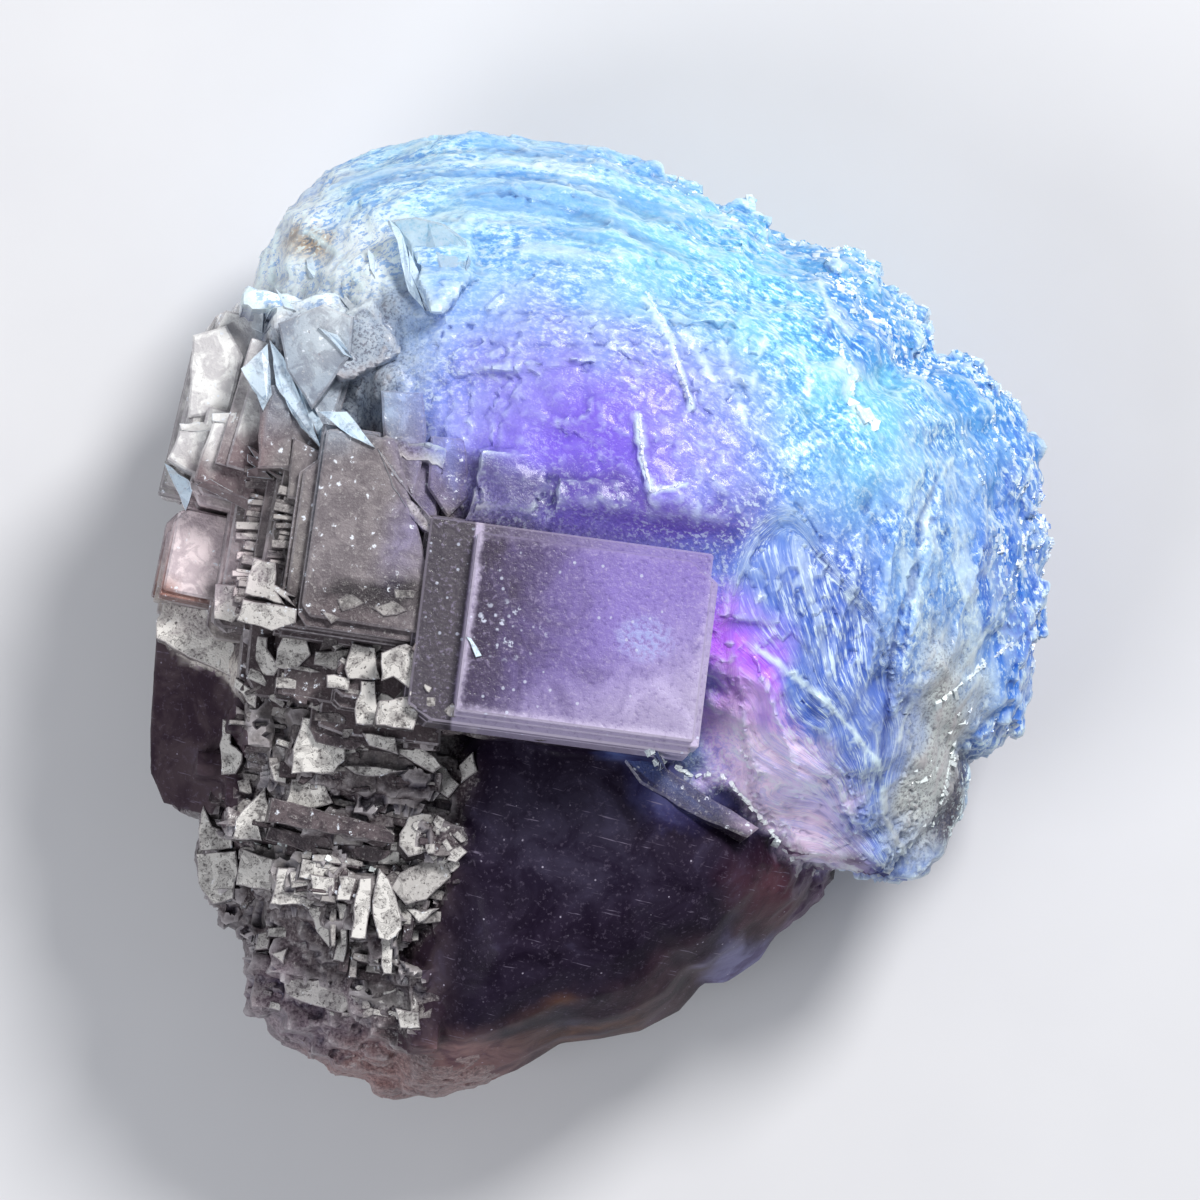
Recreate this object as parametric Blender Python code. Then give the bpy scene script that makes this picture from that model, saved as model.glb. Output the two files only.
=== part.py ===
# Fluorite specimen: one grown-together cluster, lying on the flat cut that parted it from its rock.
# +Z faces out of the crystals, +Y runs to the blue end and +X to the ribbed flank.
# All lengths below are millimetres and are turned into metres when a mesh is made.

import math
import random

import bmesh
import bpy
from mathutils import Matrix, Vector, noise
from mathutils.bvhtree import BVHTree

MM = 0.001

# Driving dimensions
RIM_HEIGHT = 15.0          # widest level of the blue mass above the cut
CROWN_HEIGHT = 39.0        # top of the blue mass
LOBE_HEIGHT = 32.0         # top of the dark lobe
STAIR_HEIGHT = 31.0        # top of the etched body under the staircase
FACE_HEIGHT = 40.6         # face of the square crystal in the middle
CUT_DEPTH = 3.0            # how far the masses run past the cut before it is made
WANDER = 0.045             # how far a growth ring strays, as a share of its radius
ROOT_CENTRE = (-3.0, -4.0)
ROOT_RADIUS = 19.0
ROOT_HEIGHT = 9.0
SEED = 7

# The cubic lattice that every flat-faced crystal shares: turned in the plane and leaning a little
LATTICE_TURN = math.radians(-8.0)
LATTICE_LEAN = Vector((0.10, 0.12, 1.0))

# Outlines seen from above, read off the specimen and listed clockwise
BLUE_OUTLINE = [
    (-26.9, 14.4), (-26.4, 22.2), (-25.0, 23.9), (-24.0, 27.5), (-23.0, 29.7), (-20.9, 31.3), (-19.6, 32.8),
    (-16.4, 34.0), (-12.8, 34.8), (-8.8, 35.0), (-4.4, 34.7), (-0.1, 34.1), (2.8, 32.7), (5.3, 31.7),
    (8.2, 29.9), (11.1, 29.2), (12.2, 27.7), (14.6, 27.1), (16.9, 26.5), (19.5, 25.1), (20.8, 23.6),
    (22.7, 22.3), (23.6, 21.0), (23.7, 19.4), (24.6, 18.7), (26.5, 18.5), (27.9, 17.3), (29.3, 15.7),
    (29.5, 14.0), (31.0, 12.4), (31.4, 10.4), (31.2, 7.9), (32.0, 6.1), (31.8, 1.4), (31.1, -3.7),
    (30.6, -7.0), (28.9, -9.2), (26.4, -10.0), (25.8, -13.1), (24.5, -16.4), (22.7, -18.5), (20.9, -18.8),
    (18.7, -18.1), (16.6, -17.3), (13.7, -17.3), (11.5, -15.3), (7.1, -11.3), (3.5, -8.4), (-4.1, -7.7),
    (-11.0, -7.7), (-19.7, -5.9), (-25.0, 3.4),
]
LOBE_OUTLINE = [
    (16.9, -18.2), (15.8, -20.4), (12.6, -23.1), (11.5, -24.7), (9.0, -26.3), (7.4, -26.5), (5.7, -28.5),
    (2.8, -30.0), (-0.1, -30.6), (-3.0, -30.9), (-6.3, -32.9), (-9.2, -33.9), (-12.4, -34.8), (-14.6, -34.4),
    (-17.0, -30.0), (-18.0, -24.0), (-17.6, -16.0), (-15.0, -8.0), (-8.8, -1.5), (-0.1, 1.4), (7.1, -1.5),
    (13.7, -10.2),
]
STAIR_OUTLINE = [
    (-28.7, 21.3), (-29.3, 19.5), (-29.9, 16.6), (-30.7, 13.0), (-31.2, 10.0), (-30.2, 8.4), (-29.7, 7.2),
    (-30.7, 4.7), (-31.6, 1.5), (-31.5, -1.5), (-32.2, -7.0), (-32.2, -11.6), (-31.4, -13.4), (-28.9, -14.8),
    (-29.3, -17.5), (-29.3, -19.0), (-28.2, -20.4), (-26.2, -23.3), (-25.8, -25.1), (-25.1, -27.8),
    (-23.7, -30.4), (-21.9, -31.2), (-20.0, -32.5), (-16.9, -33.3), (-16.6, -34.7), (-15.3, -35.0),
    (-12.4, -34.7), (-9.0, -31.0), (-6.0, -20.0), (-5.0, -6.0), (-8.0, 8.0), (-16.0, 20.0), (-25.0, 23.0),
]
RIDGE_OUTLINE = [
    (-4.1, -7.8), (-0.1, -8.2), (3.5, -8.6), (7.0, -11.9), (11.3, -15.5), (13.7, -17.5), (16.9, -17.7),
    (20.6, -18.4), (22.9, -14.8), (21.6, -5.9), (19.5, 5.0), (8.6, 9.0), (-2.0, 5.0),
]
RIDGE_HEIGHT = 36.0        # the lilac ridge at the middle of the specimen, and how it falls away per millimetre
RIDGE_SLOPE = (-0.24, 0.34)
RIDGE_FOOT = [(0.7, 4.0), (1.0, 13.0)]           # its undercut side: share of the outline, height
RIDGE_LEVELS = [(0.98, 3.0), (0.92, 0.8), (0.55, 0.0)]  # its top: share of the outline, depth below the slope

# Growth levels of each mass, bottom first: share of the outline's size, share of the mass's height
BLUE_LEVELS = [
    (0.60, 0.0), (0.78, 0.07), (0.91, 0.19), (0.98, 0.32), (1.0, 0.40), (0.985, 0.49), (0.955, 0.53),
    (0.925, 0.60), (0.885, 0.64), (0.845, 0.71), (0.80, 0.745), (0.745, 0.81), (0.69, 0.84), (0.62, 0.892),
    (0.55, 0.912), (0.46, 0.95), (0.37, 0.965), (0.22, 0.99),
]
LOBE_LEVELS = [
    (0.62, 0.0), (0.84, 0.10), (0.96, 0.25), (1.0, 0.37), (0.98, 0.48), (0.93, 0.60), (0.85, 0.73),
    (0.74, 0.84), (0.60, 0.92), (0.43, 0.975), (0.22, 0.995),
]
STAIR_LEVELS = [
    (0.66, 0.0), (0.83, 0.11), (0.94, 0.25), (1.0, 0.38), (0.985, 0.47), (0.93, 0.52), (0.89, 0.61),
    (0.82, 0.66), (0.76, 0.76), (0.66, 0.81), (0.58, 0.90), (0.44, 0.94), (0.25, 0.99),
]

# Flat-faced crystals of the staircase: x, y and height of the face's centre, width, length, depth, extra turn
CRYSTALS = [
    (-1.1, -1.2, FACE_HEIGHT, 16.5, 12.4, 9.0, 1.0),        # the square crystal
    (-2.4, -1.1, FACE_HEIGHT - 1.6, 18.8, 14.0, 9.0, 1.0),  # the broad step that carries it
    (-16.4, 6.4, 38.6, 9.0, 13.2, 12.0, 0.0),               # its neighbour to the left
    (-17.4, 5.0, 37.4, 9.6, 12.6, 12.0, 0.0),
    (-19.9, 7.4, 35.6, 4.6, 7.6, 12.0, -2.0),
    (-21.2, 6.2, 33.8, 4.4, 8.2, 12.0, -2.0),
    (-22.6, 5.2, 32.0, 5.2, 9.6, 12.0, 1.0),
    (-24.4, 5.8, 30.0, 3.6, 9.2, 12.0, -1.0),
    (-25.6, 1.6, 28.4, 3.2, 4.4, 10.0, 0.0),
    (-21.2, 14.0, 34.6, 4.0, 7.0, 12.0, -8.0),
    (-23.7, 14.6, 32.2, 3.2, 8.6, 10.0, -8.0),
    (-26.4, 11.6, 29.0, 4.4, 6.0, 10.0, -5.0),
    (-26.8, 16.2, 27.2, 3.6, 11.2, 9.0, -5.0),
    (-27.9, 14.4, 24.6, 3.8, 10.4, 9.0, -5.0),
    (-27.4, 4.4, 27.2, 6.4, 5.8, 10.0, -3.0),
    (-28.7, 3.4, 25.2, 4.0, 4.8, 9.0, -3.0),
    (-17.6, 19.6, 35.6, 5.4, 4.2, 8.0, 34.0),
    (-20.6, 20.8, 33.4, 5.0, 4.0, 8.0, 22.0),
    (-23.6, 20.6, 30.8, 4.2, 5.2, 9.0, -4.0),
    (-14.0, -4.4, 36.2, 9.0, 3.0, 9.0, 0.0),
    (-15.6, -6.8, 33.6, 8.4, 3.0, 9.0, 2.0),
    (-19.4, -3.6, 33.8, 5.6, 4.2, 9.0, -2.0),
    (-22.6, -3.0, 30.8, 4.8, 5.0, 9.0, 3.0),
    (-16.0, -10.6, 31.8, 7.6, 2.8, 8.0, 1.0),
    (-20.8, -9.4, 29.4, 5.4, 5.6, 8.0, 0.0),
    (-18.6, -14.6, 28.6, 9.4, 2.2, 8.0, 0.0),
    (-24.6, -11.0, 26.6, 4.0, 4.6, 8.0, -2.0),
    (-20.6, -18.4, 25.8, 7.2, 3.2, 8.0, 0.0),
    (-25.2, -18.2, 22.6, 4.8, 3.4, 8.0, 2.0),
    (-17.4, -20.6, 27.2, 2.0, 6.2, 8.0, -4.0),
    (-14.8, -21.0, 28.6, 2.2, 6.6, 8.0, -3.0),
    (-20.2, -24.6, 23.6, 6.4, 2.6, 8.0, 0.0),
    (-19.0, -28.6, 20.8, 7.4, 2.6, 8.0, 0.0),
    (-14.6, -28.0, 24.0, 3.2, 4.0, 8.0, 0.0),
    (-16.6, -31.6, 17.6, 5.2, 2.2, 8.0, 0.0),
    (1.0, 7.6, 39.4, 8.6, 4.2, 6.0, 2.0),                   # blocks that step up from the blue mass
    (5.2, 8.6, 39.2, 3.6, 6.2, 6.0, 4.0),
    (-6.4, 9.2, 38.8, 4.8, 5.0, 6.0, 0.0),
    (9.8, 2.8, 38.0, 3.0, 5.6, 6.0, 4.0),
]

# The dark block at the left edge: its front face, then the pale face that leans away, then its foot
EDGE_BLOCK = [
    (-31.9, -1.4, 23.0), (-26.2, -4.4, 26.0), (-25.6, -10.5, 25.5), (-28.0, -14.2, 22.5), (-31.5, -13.3, 20.5),
    (-32.5, -10.9, 20.5), (-32.5, -8.0, 21.0),
    (-31.1, 1.2, 19.0), (-27.5, 1.2, 21.5), (-26.0, -2.0, 24.0),
    (-31.2, 0.6, 9.0), (-25.0, 0.6, 9.0), (-24.6, -12.6, 9.0), (-31.8, -11.6, 9.0),
]
# The tilted clear facet near the top of the blue mass
CLEAR_FACET = [
    (-13.9, 28.4, 30.6), (-9.4, 28.0, 31.6), (-9.0, 24.4, 35.6), (-11.6, 21.6, 37.4), (-12.6, 24.0, 36.0),
    (-13.0, 27.0, 26.0), (-9.4, 26.0, 26.0), (-11.4, 21.8, 30.0),
]

# Raised ribs, each from one end to the other at the surface, with its width
RIBS = [
    (3.2, 23.1, 6.4, 15.2, 1.0), (2.6, 14.4, 3.4, 9.4, 1.0), (17.3, 19.5, 19.1, 13.7, 1.1),
    (24.5, 10.8, 20.6, -6.9, 1.6), (27.4, 6.0, 23.6, -8.0, 1.4), (21.6, 9.5, 18.6, -5.0, 1.5),
    (18.8, 7.5, 15.6, -6.0, 1.3), (13.6, 3.0, 17.0, -12.0, 1.6), (10.6, -2.0, 14.6, -13.0, 1.4),
    (-20.0, 30.6, -6.0, 32.4, 1.1), (-19.0, 27.6, 0.0, 29.6, 1.1), (-8.0, 26.0, 10.0, 25.4, 1.1),
    (-4.0, 21.6, 12.0, 21.0, 1.1), (8.0, 17.6, 15.4, 15.0, 1.1), (-10.0, 17.4, 1.0, 18.6, 1.1),
]
RIB_STEP = 3.0             # distance between the cross-sections of a rib
RIB_RISE = 0.5             # height of its crest, as a share of its width
RIB_KEEL = 2.0             # how deep its foot sits in the mass

# Small ledges of the etched corner, and the little cubes along the rim
LEDGE_COUNT = 66
LEDGE_CORNER = [(-27.0, -6.0), (-12.0, -6.0), (-10.6, -12.0), (-12.6, -33.0), (-20.0, -31.5), (-29.0, -18.0)]
RIM_FIRST = 11             # outline points of the blue mass between which the rim sparkles
RIM_LAST = 37
RIM_SPACING = 1.1
RIM_BAND = (12.5, 22.5)    # heights between which the rim's cubes sit
FAR_OUT = 60.0             # beyond every side of the specimen

PURPLE = (0.30, 0.24, 0.46, 1.0)
ROUGHNESS = 0.22


def latticeMatrix(turnDegrees=0.0):
    # axes of a crystal: w out of its face, u to the right, v up
    w = LATTICE_LEAN.normalized()
    turn = LATTICE_TURN + math.radians(turnDegrees)
    u = Vector((math.cos(turn), math.sin(turn), 0.0))
    u = (u - w * u.dot(w)).normalized()
    v = w.cross(u)
    return Matrix((u, v, w)).transposed()


def addObject(name, bm, collection):
    bmesh.ops.recalc_face_normals(bm, faces=bm.faces)
    bmesh.ops.scale(bm, vec=Vector((MM, MM, MM)), verts=bm.verts)
    mesh = bpy.data.meshes.new(name)
    bm.to_mesh(mesh)
    bm.free()
    obj = bpy.data.objects.new(name, mesh)
    collection.objects.link(obj)
    return obj


def massBmesh(outline, centre, height, levels, seed):
    # a closed mass: the outline is extruded level by level and drawn in towards its centre
    bm = bmesh.new()
    face = bm.faces.new([bm.verts.new((x, y, 0.0)) for x, y in outline])
    home = Vector(centre)
    base = [Vector(point) - home for point in outline]
    ring = list(face.verts)
    widest = max(range(len(levels)), key=lambda n: levels[n][0])
    for number, (share, lift) in enumerate(levels):
        if number:
            face, fresh = extrudeTop(bm, face, number > 1)
            ring = ringInOrder(ring, fresh)
        for vert, arm in zip(ring, base):
            stray = 0.0
            if number not in (0, widest):
                spot = Vector((arm.x * 0.16, arm.y * 0.16, number * 0.9 + seed))
                stray = noise.noise(spot) * WANDER * arm.length * share
            reach = arm * share + arm.normalized() * stray
            level = height * lift if number else -CUT_DEPTH
            vert.co = (home.x + reach.x, home.y + reach.y, level + stray * 0.5)
    tip = bmesh.ops.poke(bm, faces=[face])["verts"][0]
    tip.co = (home.x, home.y, height)
    bmesh.ops.triangulate(bm, faces=bm.faces)
    return bm


def extrudeTop(bm, face, inner):
    # extrudes the top face once more; the face it leaves inside the mass is dropped
    grown = bmesh.ops.extrude_face_region(bm, geom=[face])["geom"]
    if inner:
        bmesh.ops.delete(bm, geom=[face], context="FACES_ONLY")
    top = next(item for item in grown if isinstance(item, bmesh.types.BMFace))
    return top, [item for item in grown if isinstance(item, bmesh.types.BMVert)]


def ringInOrder(ring, fresh):
    # the new ring's corners in the order of the ring they were extruded from
    ordered = []
    for vert in ring:
        ordered.append(next(edge.other_vert(vert) for edge in vert.link_edges if edge.other_vert(vert) in fresh))
    return ordered


def hullBmesh(points):
    bm = bmesh.new()
    for point in points:
        bm.verts.new(point)
    left = bmesh.ops.convex_hull(bm, input=bm.verts)
    spare = [item for item in left["geom_interior"] if isinstance(item, bmesh.types.BMVert)]
    bmesh.ops.delete(bm, geom=spare, context="VERTS")
    return bm


def addBlock(bm, centre, size, axes):
    # a block whose outer face is centred on the given point
    spot = Matrix.Translation(centre) @ axes.to_4x4() @ Matrix.Translation((0.0, 0.0, -size[2] / 2.0))
    made = bmesh.ops.create_cube(bm, size=1.0)
    bmesh.ops.transform(bm, matrix=spot @ Matrix.Diagonal((size[0], size[1], size[2], 1.0)), verts=made["verts"])


def heightAt(trees, x, y):
    # height of the highest mass under a point seen from above
    best = 0.0
    for tree in trees:
        hit = tree.ray_cast(Vector((x, y, 100.0)), Vector((0.0, 0.0, -1.0)))[0]
        if hit is not None:
            best = max(best, hit.z)
    return best


def sideHit(trees, spot, outward, height):
    # the outermost point of the masses on a level line that runs inwards through the spot
    start = Vector((spot.x, spot.y, height)) + outward * FAR_OUT
    reach = [tree.ray_cast(start, -outward)[0] for tree in trees]
    found = [hit for hit in reach if hit is not None]
    return min(found, key=lambda hit: (hit - start).length) if found else None


def insideOutline(x, y, outline):
    inside = False
    for (ax, ay), (bx, by) in zip(outline, outline[1:] + outline[:1]):
        if (ay > y) != (by > y) and x < ax + (y - ay) * (bx - ax) / (by - ay):
            inside = not inside
    return inside


def staircaseBlocks():
    bm = bmesh.new()
    for x, y, z, width, length, depth, turn in CRYSTALS:
        addBlock(bm, Vector((x, y, z)), (width, length, depth), latticeMatrix(turn))
    return bm


def ledgeBlocks(trees, rng):
    # thin plates whose flat tops follow the lattice while the ground falls away, so that they make steps
    bm = bmesh.new()
    xs = [x for x, y in LEDGE_CORNER]
    ys = [y for x, y in LEDGE_CORNER]
    made = 0
    while made < LEDGE_COUNT:
        x = rng.uniform(min(xs), max(xs))
        y = rng.uniform(min(ys), max(ys))
        if not insideOutline(x, y, LEDGE_CORNER):
            continue
        wide = rng.uniform(1.6, 5.4)
        tall = rng.uniform(0.9, 2.4)
        if rng.random() < 0.3:
            wide, tall = tall, wide * 0.8
        rise = rng.uniform(0.5, 2.0)
        axes = latticeMatrix(rng.uniform(-5.0, 5.0))
        addBlock(bm, Vector((x, y, heightAt(trees, x, y) + rise)), (wide, tall, 5.0), axes)
        made += 1
    return bm


def rimBlocks(trees, rng):
    # little cubes along the rim, from the blue end round to the ribbed flank
    bm = bmesh.new()
    run = [Vector(point) for point in BLUE_OUTLINE[RIM_FIRST:RIM_LAST]]
    for start, end in zip(run, run[1:]):
        outward = Vector((start.y - end.y, end.x - start.x, 0.0)).normalized()
        for n in range(max(1, round((end - start).length / RIM_SPACING))):
            side = rng.uniform(1.3, 2.4)
            spot = start.lerp(end, rng.random())
            hit = sideHit(trees, spot, outward, rng.uniform(*RIM_BAND))
            if hit is not None:
                centre = hit - outward * (side * rng.uniform(0.12, 0.3)) + Vector((0.0, 0.0, side * 0.6))
                addBlock(bm, centre, (side, side, side * 1.5), latticeMatrix(rng.uniform(-22.0, 22.0)))
    return bm


def ribBmesh(trees):
    # ribs laid over the surface: a small keeled section carried from one end to the other
    bm = bmesh.new()
    for ax, ay, bx, by, width in RIBS:
        start = Vector((ax, ay))
        run = Vector((bx, by)) - start
        steps = max(3, round(run.length / RIB_STEP))
        across = Vector((-run.y, run.x)).normalized()
        face = bm.faces.new([bm.verts.new((0.0, 0.0, 0.0)) for n in range(4)])
        ring = list(face.verts)
        for step in range(steps + 1):
            if step:
                face, fresh = extrudeTop(bm, face, step > 1)
                ring = ringInOrder(ring, fresh)
            spot = start + run * (step / steps)
            swell = 0.25 + math.sin(math.pi * (step + 0.5) / (steps + 1))
            half = across * (width * swell * 0.8)
            left = spot + half
            right = spot - half
            middle = heightAt(trees, spot.x, spot.y)
            ring[0].co = (left.x, left.y, heightAt(trees, left.x, left.y) - width * 0.5)
            ring[1].co = (spot.x, spot.y, middle + width * RIB_RISE * swell)
            ring[2].co = (right.x, right.y, heightAt(trees, right.x, right.y) - width * 0.5)
            ring[3].co = (spot.x, spot.y, middle - RIB_KEEL)
    bmesh.ops.triangulate(bm, faces=bm.faces)
    return bm


def rootBmesh():
    # the broken root that the masses grew from, seen only as part of the flat cut
    bm = bmesh.new()
    height = ROOT_HEIGHT + CUT_DEPTH
    made = bmesh.ops.create_cone(
        bm, cap_ends=True, segments=28, radius1=ROOT_RADIUS, radius2=ROOT_RADIUS * 0.8, depth=height
    )
    spot = Vector((ROOT_CENTRE[0], ROOT_CENTRE[1], height / 2.0 - CUT_DEPTH))
    bmesh.ops.translate(bm, vec=spot, verts=made["verts"])
    return bm


def ridgeBmesh():
    # the lilac ridge between the square crystal and the ribbed flank, steep towards the dark lobe
    bm = bmesh.new()
    face = bm.faces.new([bm.verts.new((x, y, 0.0)) for x, y in RIDGE_OUTLINE])
    middle = face.calc_center_median()
    arms = [Vector((x, y, 0.0)) - middle for x, y in RIDGE_OUTLINE]
    ring = list(face.verts)
    for number, (share, level) in enumerate(RIDGE_FOOT + RIDGE_LEVELS):
        if number:
            face, fresh = extrudeTop(bm, face, number > 1)
            ring = ringInOrder(ring, fresh)
        for vert, arm in zip(ring, arms):
            spot = middle + arm * share
            slope = RIDGE_HEIGHT + RIDGE_SLOPE[0] * spot.x + RIDGE_SLOPE[1] * min(spot.y, 0.0)
            vert.co = (spot.x, spot.y, level if number < len(RIDGE_FOOT) else slope - level)
    bmesh.ops.triangulate(bm, faces=bm.faces)
    return bm


def fluoriteMaterial():
    material = bpy.data.materials.new("purple_fluorite")
    material.use_nodes = True
    shader = material.node_tree.nodes["Principled BSDF"]
    shader.inputs["Base Color"].default_value = PURPLE
    shader.inputs["Roughness"].default_value = ROUGHNESS
    shader.inputs["Metallic"].default_value = 0.0
    return material


def addBoolean(target, other, operation):
    cut = target.modifiers.new(other.name, "BOOLEAN")
    cut.operation = operation
    cut.solver = "EXACT"
    cut.use_self = True
    cut.object = other


def hideHelper(obj):
    obj.hide_render = True
    obj.display_type = "WIRE"


def buildSpecimen():
    for obj in list(bpy.data.objects):
        bpy.data.objects.remove(obj)
    parts = bpy.data.collections.new("fluorite_specimen")
    helpers = bpy.data.collections.new("joined_and_cut")
    bpy.context.scene.collection.children.link(parts)
    bpy.context.scene.collection.children.link(helpers)

    blue = massBmesh(BLUE_OUTLINE, (4.0, 8.0), CROWN_HEIGHT, BLUE_LEVELS, 0.0)
    lobe = massBmesh(LOBE_OUTLINE, (-2.0, -15.5), LOBE_HEIGHT, LOBE_LEVELS, 20.0)
    stair = massBmesh(STAIR_OUTLINE, (-17.0, -5.0), STAIR_HEIGHT, STAIR_LEVELS, 40.0)
    ridge = ridgeBmesh()
    trees = [BVHTree.FromBMesh(bm) for bm in (blue, lobe, stair, ridge)]
    rng = random.Random(SEED)

    joined = [
        ("dark_lobe", lobe),
        ("stair_body", stair),
        ("lilac_ridge", ridge),
        ("edge_block", hullBmesh(EDGE_BLOCK)),
        ("clear_facet", hullBmesh(CLEAR_FACET)),
        ("staircase", staircaseBlocks()),
        ("ledges", ledgeBlocks(trees, rng)),
        ("rim", rimBlocks(trees, rng)),
        ("ribs", ribBmesh(trees)),
        ("root", rootBmesh()),
    ]
    specimen = addObject("fluorite_cluster", blue, parts)
    specimen.data.materials.append(fluoriteMaterial())
    for name, bm in joined:
        helper = addObject(name, bm, helpers)
        hideHelper(helper)
        addBoolean(specimen, helper, "UNION")

    below = bmesh.new()
    addBlock(below, Vector((0.0, 0.0, 0.0)), (120.0, 120.0, 40.0), Matrix.Identity(3))
    cut = addObject("flat_cut", below, helpers)
    hideHelper(cut)
    addBoolean(specimen, cut, "DIFFERENCE")


buildSpecimen()
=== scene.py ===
import itertools
import math
import random

import bmesh
import bpy
import numpy as np
from mathutils import Matrix, Vector
from mathutils.bvhtree import BVHTree


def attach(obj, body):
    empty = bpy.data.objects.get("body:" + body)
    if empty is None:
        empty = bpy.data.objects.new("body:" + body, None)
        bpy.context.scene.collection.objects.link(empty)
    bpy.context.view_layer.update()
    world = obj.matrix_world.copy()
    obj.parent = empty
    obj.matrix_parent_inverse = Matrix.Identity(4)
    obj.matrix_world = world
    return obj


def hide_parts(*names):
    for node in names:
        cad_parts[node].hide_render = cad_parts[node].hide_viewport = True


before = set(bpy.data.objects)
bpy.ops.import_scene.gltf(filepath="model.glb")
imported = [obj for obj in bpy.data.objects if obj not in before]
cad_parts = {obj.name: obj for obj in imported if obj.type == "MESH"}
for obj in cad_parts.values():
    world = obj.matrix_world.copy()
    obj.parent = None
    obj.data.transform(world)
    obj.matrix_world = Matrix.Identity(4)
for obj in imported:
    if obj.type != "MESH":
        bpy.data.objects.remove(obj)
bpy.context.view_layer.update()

mm = 0.001
cadNode = "fluorite_cluster"
body = "root"

# where each piece's random draws start
seeds = {"square": 6, "stairs": 5, "plates": 8, "rim": 12, "rimPicks": 4, "ridges": 3,
         "etched": 21, "blocks": 22, "cool": 23, "lens": 24}

# the cubic lattice that all flat faces share, turned in the plane and leaning a little
lattice = {"turn": -8.0, "lean": (0.10, 0.12, 1.0)}


def oval(at, size, turn, edge, colour, above=-10.0):
    # a zone's middle and half sizes, turn in degrees, how softly it ends, the height over which it shows
    return {"at": at, "size": size, "turn": turn, "edge": edge, "colour": colour, "above": above}


def area(outline, fade, colour, above=-10.0):
    # a zone with an outline of its own, and the width over which it fades
    return {"outline": outline, "fade": fade, "colour": colour, "above": above}


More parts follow.
